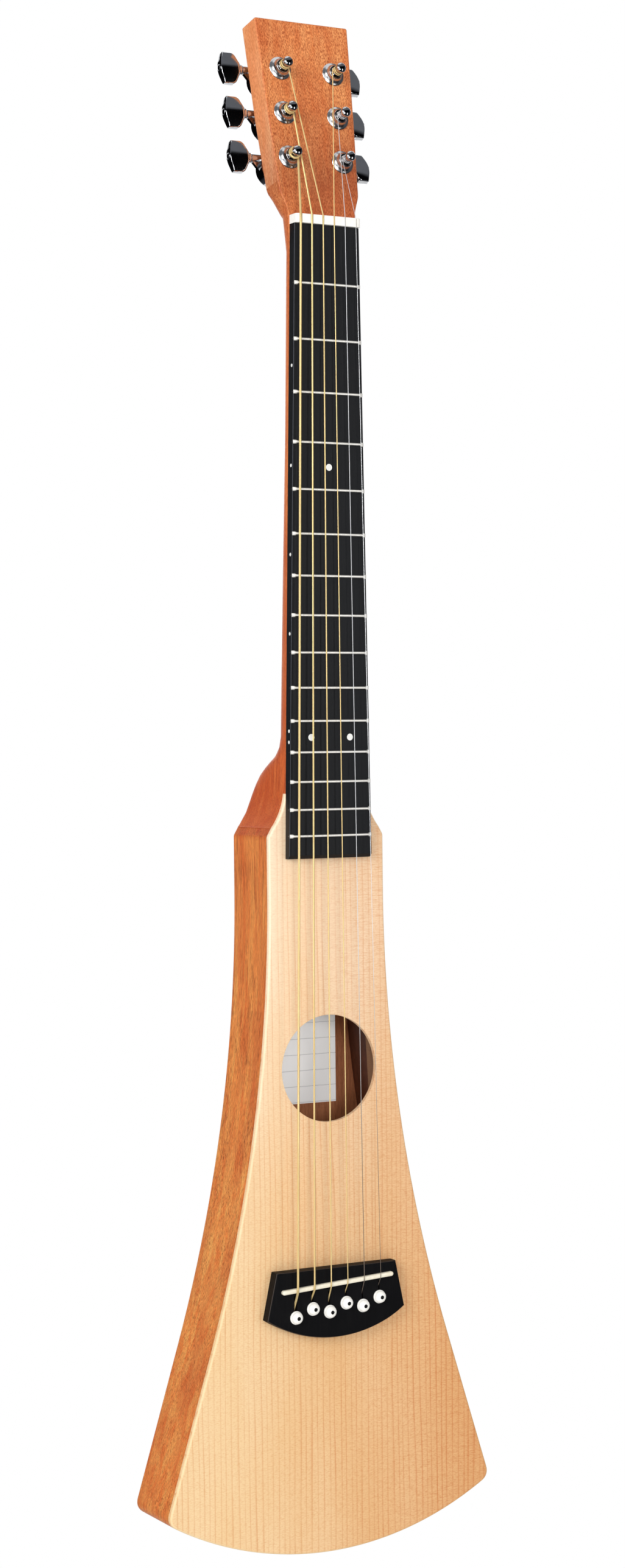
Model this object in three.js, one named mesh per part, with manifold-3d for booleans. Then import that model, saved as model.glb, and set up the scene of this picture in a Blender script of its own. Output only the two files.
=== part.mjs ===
// A small-bodied six-string travel guitar, upright, in millimetres.
// +Z runs up the neck and the soundboard faces -Y. The origin lies inside the neck, just under
// the headstock's shoulders, between the two arms of the wall hanger that carries them.
import * as THREE from 'three'
import { mergeVertices } from 'three/addons/utils/BufferGeometryUtils.js'
import Module from 'manifold-3d'

const wasm = await Module()
wasm.setup()

const degree = Math.PI / 180
const halfTurn = Math.PI
const fullTurn = 2 * Math.PI

// Shared clearances
const glueLine = 0.1 // between flat faces that are glued or clamped together
const fitGap = 0.3 // round what passes through a hole, and between turning pieces
const restGap = 0.15 // between a string and what it bears on
const overrun = 2 // how far a cutter passes the face that it cuts

// Scale and strings, the bass string first
const scaleLength = 609.6
const fretsPerOctave = 12
const fretCount = 15
const stringDiameters = [1.37, 1.07, 0.81, 0.61, 0.41, 0.3]
const nutSpread = 36.7 // between the outer strings at the nut
const saddleSpread = 55.5 // between the outer strings at the saddle
const nutAction = 0.4 // under the strings at the nut, over the frets' crowns

// Neck and fingerboard
const nutWidth = 42.6
const octaveWidth = 52.8 // the fingerboard's width at the twelfth fret
const boardPastFrets = 13.2 // from the last fret to the fingerboard's end
const boardThickness = 6.3
const boardRadius = 406
const boardEndBevel = 2
const fretHeight = 1
const fretWidth = 2.2
const tangWidth = 0.6
const tangDepth = 2
const neckDepthAtNut = 14.3 // of wood behind the fingerboard
const neckDepthAtHeel = 20.9
const heelRise = 21.9 // from the start of the heel's curve to the start of the shoulders
const heelPastShoulder = 8.9
const neckSetAngle = 0.48 * degree

// Headstock
const headAngle = 11.37 * degree
const headLength = 118.8
const headThickness = 16.5
const headTopHalf = 30.9
const headLowHalf = 26.4
const shoulderHeight = 16.5 // up the face to the headstock's lower corners
const nutThickness = 5.2
const nutTop = 8.4 // the nut's height above the neck's glue face
const nutShelf = 1.46 // flat wood between the nut and the tilted face

// Body
const neckFretCount = 13 // frets on the neck before its shoulders start
const shoulderPastFret = 1.7
const topPastShoulder = 5 // from the start of the shoulders to the soundboard's upper end
const bodyDepth = 45.8
const topThickness = 3
const topProud = 0.26 // how far the soundboard stands proud of the neck's glue face
const backThickness = 3
const sideWall = 5.5
const neckBlockLength = 26
const tailBlockLength = 12
const waistHalf = 38.1
const shoulderRadius = 40.5
const shoulderTurn = 38 * degree
const cornerDrop = 4.8 // from the end of the shoulder's curve down to the corner
const waistLength = 36.5 // of straight side between the corner's curve and the flare
const flareRadius = 888
const flareTurn = 17.4 * degree
const tailRadius = 206
const tailCornerCut = 6
const soundholeRadius = 31.2
const soundholeSetback = 140.8 // from the body's seam to the soundhole's centre
const tailPastSaddle = 158.5

// Bridge, saddle and pins; places across the bridge follow the saddle's slanted line
const compensation = 4.4 // of the saddle, beyond the scale length
const bridgeAboveSaddle = 9.4
const bridgeSide = 27.4 // from the bridge's straight upper edge to its lower corners
const bridgeSag = 13.5 // of its curved lower edge below the corners
const bridgeTopHalf = 39.7
const bridgeLowHalf = 45.7
const bridgeHeight = 6.9
const saddleSlope = 0.058
const saddleLength = 74
const saddleWidth = 2.7
const saddleHeight = 9 // above the soundboard
const saddleDepth = 4 // how deep it sits in the bridge
const pinSetbacks = [15.7, 12.3] // from the saddle, for every other string
const pinHeadRadius = 3.9
const pinHeadHeight = 2.3
const pinShankRadius = 2.5
const pinTipRadius = 2.1
const pinLength = 21 // below the head
const stringMouth = 5.3 // from the pin's axis to where the string enters the bridge
const mouthEase = 1 // of the bridge's slot in front of the string
const ballRadius = 1.9

// Bracing under the soundboard
const legWidth = 5
const legHeight = 8
const legClear = 1.5 // from the side frame at their upper ends
const legSetback = 4.5 // from the neck block
const legPastBridge = 54.5
const legOutside = 5.3 // from the bridge's upper corners to the legs' lower ends
const crossBraceSetback = 14.1 // from the edge of the soundhole
const crossBraceWidth = 8
const plateBorder = 6.5 // of the bridge plate round the bridge
const bridgePlateThickness = 2.5

// Tuning machines, placed up and across the headstock's face
const postOffset = 17.6
const lowestPost = 33.9
const postSpacing = 27.2
const postRadius = 3
const waistRadius = 2
const waistLow = 4.5
const waistHigh = 9.3
const waistFlare = 0.5
const postTop = 12
const postDomeDrop = 1.2
const postFoot = 5.9 // behind the back of the headstock
const bushingRadius = 4.2
const bushingDepth = 8
const bushingFlangeRadius = 7
const bushingFlange = 1.2
const bushingTopRadius = 4.1
const bushingTop = 4.2
const shaftRise = 6 // from the post's axis up to the knob's shaft
const shaftBehind = 3.9 // from the back of the headstock to the knob's shaft
const shaftRadius = 1.2
const sleeveRadius = 2.55
const sleeveEnd = 14.4 // from the post's axis
const housingRadius = 9.7
const housingDepth = 9.1
const housingRound = 1.2
const gussetThickness = 2
const lugReach = 13.2
const lugHalf = 2.6
const lugThickness = 2.4
const lugHoleRadius = 1.3
const gearTeeth = 14
const toothPitch = 1.952
const toothRoot = 0.9
const toothTip = 0.4
const toothHeight = 1.05
const gearThickness = 2.2
const wormTurns = 3
const wormCore = 1
const meshGap = 0.25 // between the tips of one gear and the roots of the other
const wormShoulder = 0.5 // plain shaft past each end of the thread
const collarStart = 15
const collarRadius = 3.2
const buttonStart = 16.2
const buttonLength = 12.8
const buttonHeight = 19.2
const buttonThickness = 8
const buttonBevel = 2.7
const rightKnobTurn = -16 * degree // how the three treble knobs were left standing
const turnsOnPost = [1.5, 2, 2, 2, 2.5, 2.5]
const turnSpacing = 0.75 // clear space between a string's turns on its post

// The hanger's seat, from the nut's front edge on the fingerboard
const seatAboveNut = 13
const seatBehindBoard = 15

// Counts of sides and steps
const stringSides = 6
const stepsPerTurn = 24
const wormSteps = 6
const boreSides = 10
const pinSides = 8
const housingSides = 18
const soundholeSides = 32
const outlineSteps = 6
const tailSteps = 5
const cornerSteps = 3
const bridgeTailSteps = 10
const saddleEndSteps = 3
const boardSteps = 6
const neckSteps = 16
const fretSteps = 3

// Materials
const paint = (color, roughness, metalness = 0) =>
  new THREE.MeshStandardMaterial({ color, roughness, metalness })
const brownWood = () => paint(0xb4683c, 0.55)
const paleWood = () => paint(0xe8c48f, 0.6)
const blackWood = () => paint(0x1b1b1d, 0.5)
const whitePlastic = () => paint(0xf3f1ea, 0.35)
const creamPlastic = () => paint(0xeee6cf, 0.4)
const chrome = () => paint(0xc9ccd0, 0.12, 1)
const nickelSilver = () => paint(0xd9d9d6, 0.25, 1)
const bronze = () => paint(0xd8ae62, 0.35, 1)
const plainSteel = () => paint(0xc4c6c9, 0.25, 1)

// Closed solids: how they are joined, cut, skinned and turned
const vector = (x, y, z) => new THREE.Vector3(x, y, z)
const flat = (x, z) => new THREE.Vector2(x, z)

function solidOf(geometry) {
  const bare = geometry.clone()
  bare.deleteAttribute('normal')
  bare.deleteAttribute('uv')
  const merged = mergeVertices(bare, 1e-5)
  return new wasm.Manifold(new wasm.Mesh({
    numProp: 3,
    vertProperties: new Float32Array(merged.attributes.position.array),
    triVerts: new Uint32Array(merged.index.array),
  }))
}

function geometryOf(solid) {
  const mesh = solid.getMesh()
  const geometry = new THREE.BufferGeometry()
  geometry.setAttribute('position', new THREE.BufferAttribute(mesh.vertProperties, 3))
  geometry.setIndex(new THREE.BufferAttribute(mesh.triVerts, 1))
  return geometry
}

const joined = (geometries) =>
  geometryOf(geometries.map(solidOf).reduce((solid, next) => solid.add(next)))

const cutFrom = (geometry, cutters) =>
  geometryOf(cutters.map(solidOf).reduce((solid, cutter) => solid.subtract(cutter), solidOf(geometry)))

// Turns every face over if a solid was skinned inside out
function facingOut(geometry) {
  const place = geometry.attributes.position
  const index = geometry.index.array
  const [a, b, c] = [vector(), vector(), vector()]
  let volume = 0
  for (let i = 0; i < index.length; i += 3) {
    a.fromBufferAttribute(place, index[i])
    b.fromBufferAttribute(place, index[i + 1])
    c.fromBufferAttribute(place, index[i + 2])
    volume += a.dot(b.cross(c))
  }
  for (let i = 0; volume < 0 && i < index.length; i += 3) {
    const first = index[i]
    index[i] = index[i + 1]
    index[i + 1] = first
  }
  return geometry
}

// Skins rings that have as many points each, and closes the first and the last
function loft(rings) {
  const count = rings[0].length
  const index = []
  for (let start = 0; start < (rings.length - 1) * count; start += count) {
    for (let i = 0; i < count; i += 1) {
      const a = start + i
      const b = start + (i + 1) % count
      index.push(a, b, a + count, b, b + count, a + count)
    }
  }
  const close = (ring, start, order) => {
    const normal = vector()
    ring.forEach((point, i) => {
      const next = ring[(i + 1) % count]
      normal.add(point.clone().sub(ring[0]).cross(next.clone().sub(ring[0])))
    })
    const right = ring[Math.floor(count / 2)].clone().sub(ring[0]).normalize()
    const up = normal.normalize().cross(right)
    const face = ring.map((point) => flat(point.dot(right), point.dot(up)))
    THREE.ShapeUtils.triangulateShape(face, []).forEach((corners) => {
      index.push(...order.map((k) => start + corners[k]))
    })
  }
  close(rings[0], 0, [2, 1, 0])
  close(rings[rings.length - 1], (rings.length - 1) * count, [0, 1, 2])
  const geometry = new THREE.BufferGeometry()
  const places = rings.flat().flatMap((point) => point.toArray())
  geometry.setAttribute('position', new THREE.Float32BufferAttribute(places, 3))
  geometry.setIndex(index)
  return facingOut(geometry)
}

// Sweeps a round section along points, with each ring square to the path
function sweep(points, radius, sides) {
  let side = vector(1, 0, 0)
  return loft(points.map((point, i) => {
    const before = points[Math.max(i - 1, 0)]
    const after = points[Math.min(i + 1, points.length - 1)]
    const along = point.clone().sub(before).normalize()
      .add(after.clone().sub(point).normalize()).normalize()
    if (Math.abs(side.dot(along)) > 0.99) side = vector(0, 1, 0)
    side = side.clone().addScaledVector(along, -side.dot(along)).normalize()
    const up = vector().crossVectors(along, side)
    return Array.from({ length: sides }, (_, k) => point.clone()
      .addScaledVector(side, radius * Math.cos((fullTurn * k) / sides))
      .addScaledVector(up, radius * Math.sin((fullTurn * k) / sides)))
  }))
}

// An outline in X and Z made into a plate between two depths
function plate(outline, front, back, hole) {
  const shape = new THREE.Shape(outline)
  if (hole) shape.holes = [new THREE.Path(hole)]
  const geometry = new THREE.ExtrudeGeometry(shape, { depth: back - front, bevelEnabled: false })
  return geometry.rotateX(halfTurn / 2).translate(0, back, 0)
}

function box(low, high) {
  const size = high.clone().sub(low)
  const middle = high.clone().add(low).divideScalar(2)
  return new THREE.BoxGeometry(...size).translate(...middle)
}

// A profile of radii and heights, turned round an axis that points forward, along -Y
const turned = (profile, sides) => facingOut(
  new THREE.LatheGeometry(profile.map(([radius, height]) => flat(radius, height)), sides).rotateX(halfTurn))

// The same kind of profile, turned round an axis that points along X
const turnedAcross = (profile, sides) => turned(profile, sides).rotateZ(halfTurn / 2)

const rod = (radius, low, high) => [[0, low], [radius, low], [radius, high], [0, high]]

// The radius whose faceted circle just clears a round piece
const clearOf = (radius, sides) => (radius + fitGap) / Math.cos(halfTurn / sides)

const circle = (x, z, radius, sides) => Array.from({ length: sides }, (_, i) => flat(
  x + radius * Math.cos((fullTurn * i) / sides), z + radius * Math.sin((fullTurn * i) / sides)))

// Drops down the guitar from the nut's front edge: the frets set the saddle and the body's shoulders
const fretDrop = (fret) => scaleLength * (1 - 2 ** (-fret / fretsPerOctave))
const boardLength = fretDrop(fretCount) + boardPastFrets
const shoulderStart = fretDrop(neckFretCount) + shoulderPastFret
const shoulderEnd = shoulderStart + shoulderRadius * Math.sin(shoulderTurn)
const bodyStart = shoulderStart + topPastShoulder
const neckBlockEnd = shoulderEnd + neckBlockLength
const flareStart = shoulderEnd + waistLength
const soundholeDrop = shoulderEnd + soundholeSetback
const saddleDrop = scaleLength + compensation
const bridgeTop = saddleDrop - bridgeAboveSaddle
const bridgeCorner = bridgeTop + bridgeSide
const bridgeTail = bridgeCorner + bridgeSag
const bodyEnd = saddleDrop + tailPastSaddle

// The neck leans back on the body, and the headstock leans back on the neck
const guitar = new THREE.Group()
const neckSet = new THREE.Group()
const head = new THREE.Group()
const body = new THREE.Group()
const topSetBack = (boardThickness - topProud) * Math.cos(neckSetAngle) + bodyStart * Math.sin(neckSetAngle)
neckSet.position.set(0, -seatBehindBoard, -seatAboveNut)
neckSet.rotation.x = neckSetAngle
head.position.set(0, boardThickness, nutThickness + nutShelf)
head.rotation.x = -headAngle
body.position.set(0, topSetBack - seatBehindBoard, -seatAboveNut)
neckSet.add(head)
guitar.add(neckSet, body)
guitar.updateMatrixWorld(true)
const fromBodyToNeck = neckSet.matrixWorld.clone().invert().multiply(body.matrixWorld)

function add(group, name, geometry, material) {
  const mesh = new THREE.Mesh(geometry, material)
  mesh.name = name
  group.add(mesh)
}

// What the pieces share: the strings' places, the fingerboard's width and crown, the frets' places
const strings = stringDiameters.map((diameter, i) => {
  const acrossShare = i / (stringDiameters.length - 1) - 1 / 2
  const x = acrossShare * saddleSpread
  const setback = pinSetbacks[i % pinSetbacks.length]
  const bass = i < stringDiameters.length / 2
  const row = bass ? i : stringDiameters.length - 1 - i
  return {
    number: stringDiameters.length - i,
    radius: diameter / 2,
    nutX: acrossShare * nutSpread,
    saddleX: x,
    saddleZ: -saddleDrop + saddleSlope * x,
    pinZ: -saddleDrop + saddleSlope * x - setback,
    side: bass ? -1 : 1,
    postHeight: lowestPost + row * postSpacing,
    turns: turnsOnPost[i],
    material: bass || i === stringDiameters.length / 2 ? bronze : plainSteel,
  }
})
const boardHalf = (drop) => (nutWidth + ((octaveWidth - nutWidth) * drop) / (scaleLength / 2)) / 2
const boardSag = (x) => (x * x) / (2 * boardRadius)

// Half outlines of the body, listed from the neck to the tail as offsets and drops
const shoulderX = boardHalf(shoulderStart) + shoulderRadius
const shoulderHalf = (drop) => {
  const rise = Math.max(drop - shoulderStart, 0)
  return drop < shoulderStart ? boardHalf(drop) : shoulderX - Math.sqrt(shoulderRadius ** 2 - rise ** 2)
}
const shoulderArc = (from, to) => Array.from({ length: outlineSteps + 1 }, (_, i) => {
  const drop = from + ((to - from) * i) / outlineSteps
  return [shoulderHalf(drop), drop]
})
const bodyCorner = [waistHalf, shoulderEnd + cornerDrop]

function bodyOutline(upper, wall, tailWall) {
  const half = [...upper]
  for (let i = 0; i <= outlineSteps; i += 1) {
    const turn = (flareTurn * i) / outlineSteps
    const reach = flareRadius + wall
    half.push([waistHalf + flareRadius - reach * Math.cos(turn), flareStart + reach * Math.sin(turn)])
  }
  const flank = flat(...half[half.length - 1])
  const along = flat(Math.sin(flareTurn), Math.cos(flareTurn))
  const centreDrop = bodyEnd - tailRadius
  const reach = tailRadius - tailWall
  const fromCentre = flank.clone().sub(flat(0, centreDrop))
  const halfway = -fromCentre.dot(along)
  const run = halfway + Math.sqrt(halfway ** 2 + reach ** 2 - fromCentre.lengthSq())
  const corner = flank.clone().addScaledVector(along, run)
  const arcTurn = Math.asin(corner.x / reach) - tailCornerCut / reach
  const onArc = (turn) => flat(reach * Math.sin(turn), centreDrop + reach * Math.cos(turn))
  const before = corner.clone().addScaledVector(along, -tailCornerCut)
  const bend = new THREE.QuadraticBezierCurve(before, corner, onArc(arcTurn)).getPoints(cornerSteps)
  half.push(...bend.map((point) => point.toArray()))
  for (let i = 1; i <= tailSteps; i += 1) half.push(onArc(arcTurn * (1 - i / tailSteps)).toArray())
  const left = half.map(([x, drop]) => flat(-x, -drop))
  const right = half.slice(0, -1).reverse().map(([x, drop]) => flat(x, -drop))
  return [...left, ...right]
}

// A pin hole, with the string's slot on the side towards the saddle
const slotHalf = (string) => string.radius + fitGap
const stringSetback = (string) => pinShankRadius + restGap + string.radius
function pinCutters(string, front, back, reach) {
  const { saddleX: x, pinZ: z } = string
  const hole = circle(x, z, clearOf(pinShankRadius, pinSides), pinSides)
  const slot = [
    flat(x - slotHalf(string), z),
    flat(x + slotHalf(string), z),
    flat(x + slotHalf(string), z + reach),
    flat(x - slotHalf(string), z + reach),
  ]
  return [hole, slot].map((outline) => plate(outline, front - overrun, back + overrun))
}
const plainSlot = (string) => stringSetback(string) + slotHalf(string)
const mouthSlot = (string) => stringMouth + mouthEase + slotHalf(string)

// Soundboard, side frame and back
function buildBody() {
  const topOutline = bodyOutline([...shoulderArc(bodyStart, shoulderEnd), bodyCorner], 0, 0)
  const soundhole = circle(0, -soundholeDrop, soundholeRadius, soundholeSides)
  add(body, 'soundboard', cutFrom(
    plate(topOutline, 0, topThickness, soundhole),
    strings.flatMap((string) => pinCutters(string, 0, topThickness, plainSlot(string))),
  ), paleWood())
  const frameOutline = bodyOutline([[shoulderHalf(shoulderEnd), shoulderEnd], bodyCorner], 0, 0)
  const cavity = bodyOutline([[waistHalf - sideWall, neckBlockEnd]], sideWall, tailBlockLength)
  const frameFront = topThickness + glueLine
  const backFront = bodyDepth - backThickness
  add(body, 'side_frame', plate(frameOutline, frameFront, backFront - glueLine, cavity), brownWood())
  add(body, 'back_plate', plate(frameOutline, backFront, bodyDepth), brownWood())
}

// Two legs, a cross brace above the soundhole and the plate that the strings' ball ends pull on
function buildBracing() {
  const front = topThickness + glueLine
  const high = flat(waistHalf - sideWall - legClear - legWidth / 2, neckBlockEnd + legSetback)
  const low = flat(bridgeTopHalf + legOutside, bridgeTail + legPastBridge)
  const leg = (side) => plate([
    flat(side * high.x - legWidth / 2, -high.y),
    flat(side * high.x + legWidth / 2, -high.y),
    flat(side * low.x + legWidth / 2, -low.y),
    flat(side * low.x - legWidth / 2, -low.y),
  ], front, front + legHeight)
  const crossTop = soundholeDrop - soundholeRadius - crossBraceSetback - crossBraceWidth
  const crossHalf = high.x + ((low.x - high.x) * (crossTop - high.y)) / (low.y - high.y)
  const crossBrace = box(
    vector(-crossHalf, front, -crossTop - crossBraceWidth),
    vector(crossHalf, front + legHeight, -crossTop),
  )
  const bridgePlate = box(
    vector(-bridgeLowHalf - plateBorder, front, -bridgeTail - plateBorder),
    vector(bridgeLowHalf + plateBorder, front + bridgePlateThickness, -bridgeTop + plateBorder),
  )
  add(body, 'top_bracing', cutFrom(
    joined([leg(-1), leg(1), crossBrace, bridgePlate]),
    strings.flatMap((string) => pinCutters(string, front, front + bridgePlateThickness, plainSlot(string))),
  ), paleWood())
}

function saddleOutline(grow) {
  const along = flat(1, saddleSlope).normalize()
  const across = flat(-along.y, along.x)
  const round = saddleWidth / 2 + grow
  const straight = (saddleLength - saddleWidth) / 2
  return [1, -1].flatMap((end) => Array.from({ length: saddleEndSteps + 1 }, (_, i) => {
    const turn = (halfTurn * i) / saddleEndSteps - halfTurn / 2
    return flat(0, -saddleDrop)
      .addScaledVector(along, end * (straight + round * Math.cos(turn)))
      .addScaledVector(across, end * round * Math.sin(turn))
  }))
}

function buildBridge() {
  const radius = (bridgeLowHalf ** 2 + bridgeSag ** 2) / (2 * bridgeSag)
  const turn = Math.asin(bridgeLowHalf / radius)
  const tailArc = Array.from({ length: bridgeTailSteps + 1 }, (_, i) => {
    const at = turn * ((2 * i) / bridgeTailSteps - 1)
    return flat(radius * Math.sin(at), radius * (1 - Math.cos(at)) - bridgeTail)
  })
  const outline = [flat(bridgeTopHalf, -bridgeTop), flat(-bridgeTopHalf, -bridgeTop), ...tailArc]
  const slotFloor = saddleDepth - bridgeHeight
  add(body, 'bridge', cutFrom(plate(outline, -bridgeHeight, -glueLine), [
    plate(saddleOutline(glueLine), -bridgeHeight - overrun, slotFloor),
    ...strings.flatMap((string) => pinCutters(string, -bridgeHeight, 0, mouthSlot(string))),
  ]), blackWood())
  add(body, 'saddle', plate(saddleOutline(0), -saddleHeight, slotFloor - glueLine), creamPlastic())
}

function buildPins() {
  const seat = bridgeHeight + glueLine
  const neckShare = 0.8
  const collarShare = 0.25
  const domeShare = 0.6
  const profile = [
    [0, seat - pinLength],
    [pinTipRadius, seat - pinLength],
    [pinShankRadius, seat],
    [pinHeadRadius, seat],
    [pinHeadRadius, seat + pinHeadHeight * collarShare],
    [pinHeadRadius * neckShare, seat + pinHeadHeight * domeShare],
    [0, seat + pinHeadHeight],
  ]
  strings.forEach((string) => {
    const pin = turned(profile, pinSides).translate(string.saddleX, 0, string.pinZ)
    add(body, `bridge_pin_${string.number}`, pin, whitePlastic())
  })
}

// Neck, heel and headstock in one piece, skinned over sections from the body up to the headstock
function neckRing(place, half, depth, power, lean = 0) {
  return Array.from({ length: neckSteps + 1 }, (_, i) => {
    const turn = (halfTurn * i) / neckSteps
    const x = half * Math.sign(Math.cos(turn)) * Math.abs(Math.cos(turn)) ** (2 / power)
    const y = depth * Math.abs(Math.sin(turn)) ** (2 / power)
    return vector(i === neckSteps / 2 ? 0 : x, i === neckSteps ? 0 : y, 0)
      .applyAxisAngle(vector(1, 0, 0), -lean)
      .add(place)
  })
}

function buildNeck() {
  const heelStart = shoulderStart - heelRise
  const heelEnd = shoulderStart + heelPastShoulder
  const heelDepth = bodyDepth - topProud - fitGap
  const heelShares = [
    [1, 1, 20], [0.773, 0.973, 10], [0.594, 0.922, 6], [0.432, 0.697, 5], [0.302, 0.48, 4],
    [0.172, 0.225, 3.2], [0, 0, 2.8],
  ]
  const shaftShares = [
    [0.98, 0.97], [0.855, 0.84], [0.757, 0.7], [0.665, 0.56], [0.575, 0.37], [0.48, 0.18], [0.4, 0],
    [0.05, 0],
  ]
  const shoulderShares = [
    [0, 0.16, 3.4], [0.242, 0.32, 4.2], [0.436, 0.52, 4.9], [0.65, 0.78, 5.6], [0.83, 0.95, 7.5], [1, 1, 14],
    [1.17, 1.02, 24],
  ]
  const shaftPower = 2.4
  const squarePower = 60
  const onFace = (drop) => vector(0, boardThickness, -drop)
  const rings = [shoulderEnd + overrun, (shoulderEnd + heelEnd) / 2].map((drop) =>
    neckRing(onFace(drop), shoulderHalf(drop), heelDepth, heelShares[0][2]))
  heelShares.forEach(([share, depthShare, power]) => {
    const drop = heelStart + share * (heelEnd - heelStart)
    const depth = neckDepthAtHeel + depthShare * (heelDepth - neckDepthAtHeel)
    rings.push(neckRing(onFace(drop), shoulderHalf(drop), depth, power))
  })
  shaftShares.forEach(([share, depthShare]) => {
    const drop = share * heelStart
    const depth = neckDepthAtNut + depthShare * (neckDepthAtHeel - neckDepthAtNut)
    rings.push(neckRing(onFace(drop), boardHalf(drop), depth, shaftPower))
  })
  const nutHalf = nutWidth / 2
  const onHead = (height) => vector(0, 0, height).applyMatrix4(head.matrix)
  shoulderShares.forEach(([share, widthShare, power]) => {
    const half = nutHalf + widthShare * (headLowHalf - nutHalf)
    const depth = share === 0 ? neckDepthAtNut + (headThickness - neckDepthAtNut) / 2 : headThickness
    rings.push(neckRing(onHead(share * shoulderHeight), half, depth, power, headAngle))
  })
  rings.push(neckRing(onHead(headLength), headTopHalf, headThickness, squarePower, headAngle))
  const wide = waistHalf + overrun
  const ledge = box(
    vector(-wide, -bodyDepth, -shoulderEnd - bodyDepth),
    vector(wide, topThickness + glueLine, glueLine - bodyStart),
  ).applyMatrix4(fromBodyToNeck)
  const seam = box(
    vector(-wide, -bodyDepth, -shoulderEnd - bodyDepth),
    vector(wide, 2 * bodyDepth, glueLine - shoulderEnd),
  ).applyMatrix4(fromBodyToNeck)
  const boreRadius = clearOf(bushingRadius, boreSides)
  const bores = strings.map((string) =>
    turned(rod(boreRadius, -headThickness - overrun, overrun), boreSides)
      .translate(string.side * postOffset, 0, string.postHeight)
      .applyMatrix4(head.matrix))
  add(neckSet, 'neck', cutFrom(loft(rings), [ledge, seam, ...bores]), brownWood())
}

// Fingerboard, frets and nut
function buildFingerboard() {
  const bottom = boardThickness - glueLine
  const ring = (drop, lower) => {
    const top = Array.from({ length: boardSteps + 1 }, (_, i) => {
      const x = boardHalf(drop) * (1 - (2 * i) / boardSteps)
      return vector(x, boardSag(x) + lower, -drop)
    })
    return [...top, vector(-boardHalf(drop), bottom, -drop), vector(boardHalf(drop), bottom, -drop)]
  }
  const blank = loft([ring(0, 0), ring(boardLength - boardEndBevel, 0), ring(boardLength, boardEndBevel)])
  const wide = octaveWidth / 2 + overrun
  const slots = Array.from({ length: fretCount }, (_, i) => box(
    vector(-wide, -overrun, -fretDrop(i + 1) - tangWidth / 2 - glueLine),
    vector(wide, tangDepth + glueLine + boardSag(wide), -fretDrop(i + 1) + tangWidth / 2 + glueLine),
  ))
  const overSoundboard = box(
    vector(-wide, -glueLine, -boardLength - bodyDepth),
    vector(wide, bodyDepth, glueLine - bodyStart),
  ).applyMatrix4(fromBodyToNeck)
  add(neckSet, 'fingerboard', cutFrom(blank, [...slots, overSoundboard]), blackWood())
}

// A fret is a crown over a tang, bent to the fingerboard and bevelled at its ends
function buildFrets() {
  const shoulderShare = 0.7
  const widthShare = 0.35
  const bevel = fretHeight / 2
  for (let fret = 1; fret <= fretCount; fret += 1) {
    const half = boardHalf(fretDrop(fret))
    const section = (x, height) => {
      const seat = boardSag(x) - glueLine
      const tang = Math.min(tangWidth / 2, fretWidth / 2)
      return [
        [-fretWidth / 2, seat],
        [-fretWidth * widthShare, seat - height * shoulderShare],
        [0, seat - height],
        [fretWidth * widthShare, seat - height * shoulderShare],
        [fretWidth / 2, seat],
        [tang, seat],
        [tang, boardSag(half) + tangDepth],
        [-tang, boardSag(half) + tangDepth],
        [-tang, seat],
      ].map(([z, y]) => vector(x, y, z - fretDrop(fret)))
    }
    const inner = half - bevel
    const rings = [section(-half, fretHeight * widthShare)]
    for (let i = 0; i <= fretSteps; i += 1) {
      rings.push(section(inner * ((2 * i) / fretSteps - 1), fretHeight - glueLine))
    }
    rings.push(section(half, fretHeight * widthShare))
    add(neckSet, `fret_${fret}`, loft(rings), nickelSilver())
  }
}

const stringHeight = (string) => boardSag(string.nutX) - fretHeight - nutAction - string.radius
function buildNut() {
  const half = nutWidth / 2 + restGap
  const round = 2
  const bottom = boardThickness - glueLine
  const top = boardThickness - nutTop
  const outline = [
    flat(half, bottom),
    flat(half, top + round),
    flat(half - round, top),
    flat(round - half, top),
    flat(-half, top + round),
    flat(-half, bottom),
  ]
  const blank = loft([glueLine, nutThickness].map((z) => outline.map((point) => vector(point.x, point.y, z))))
  const slots = strings.map((string) => box(
    vector(string.nutX - slotHalf(string), top - overrun, -overrun),
    vector(string.nutX + slotHalf(string), stringHeight(string) + string.radius + restGap,
      nutThickness + overrun),
  ))
  add(neckSet, 'nut', cutFrom(blank, slots), whitePlastic())
}

// Strings, each one unbroken tube from its turns on the post to its ball end under the bridge plate
const windingRadius = (string) => waistRadius + fitGap + string.radius
const windingStart = (string) => bushingTop + fitGap + string.radius
function windingPath(string) {
  const toHead = head.matrix.clone().invert()
  const nutPoint = vector(string.nutX, stringHeight(string), nutThickness).applyMatrix4(toHead)
  const post = vector(string.side * postOffset, 0, string.postHeight)
  const toNut = flat(nutPoint.x - post.x, nutPoint.z - post.z)
  const radius = windingRadius(string)
  const leave = toNut.angle() - string.side * Math.acos(radius / toNut.length())
  const pitch = 2 * string.radius + turnSpacing
  const steps = Math.round(string.turns * stepsPerTurn)
  const turns = Array.from({ length: steps + 1 }, (_, i) => {
    const turn = (fullTurn * i) / stepsPerTurn
    const at = leave - string.side * turn
    return vector(
      post.x + radius * Math.cos(at),
      -windingStart(string) - (pitch * turn) / fullTurn,
      post.z + radius * Math.sin(at),
    )
  })
  const last = turns[turns.length - 1]
  const tail = last.clone().sub(turns[turns.length - 2]).normalize()
  turns.push(last.clone().addScaledVector(tail, 2 * string.radius))
  return turns.map((point) => point.applyMatrix4(head.matrixWorld)).reverse()
}

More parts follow.
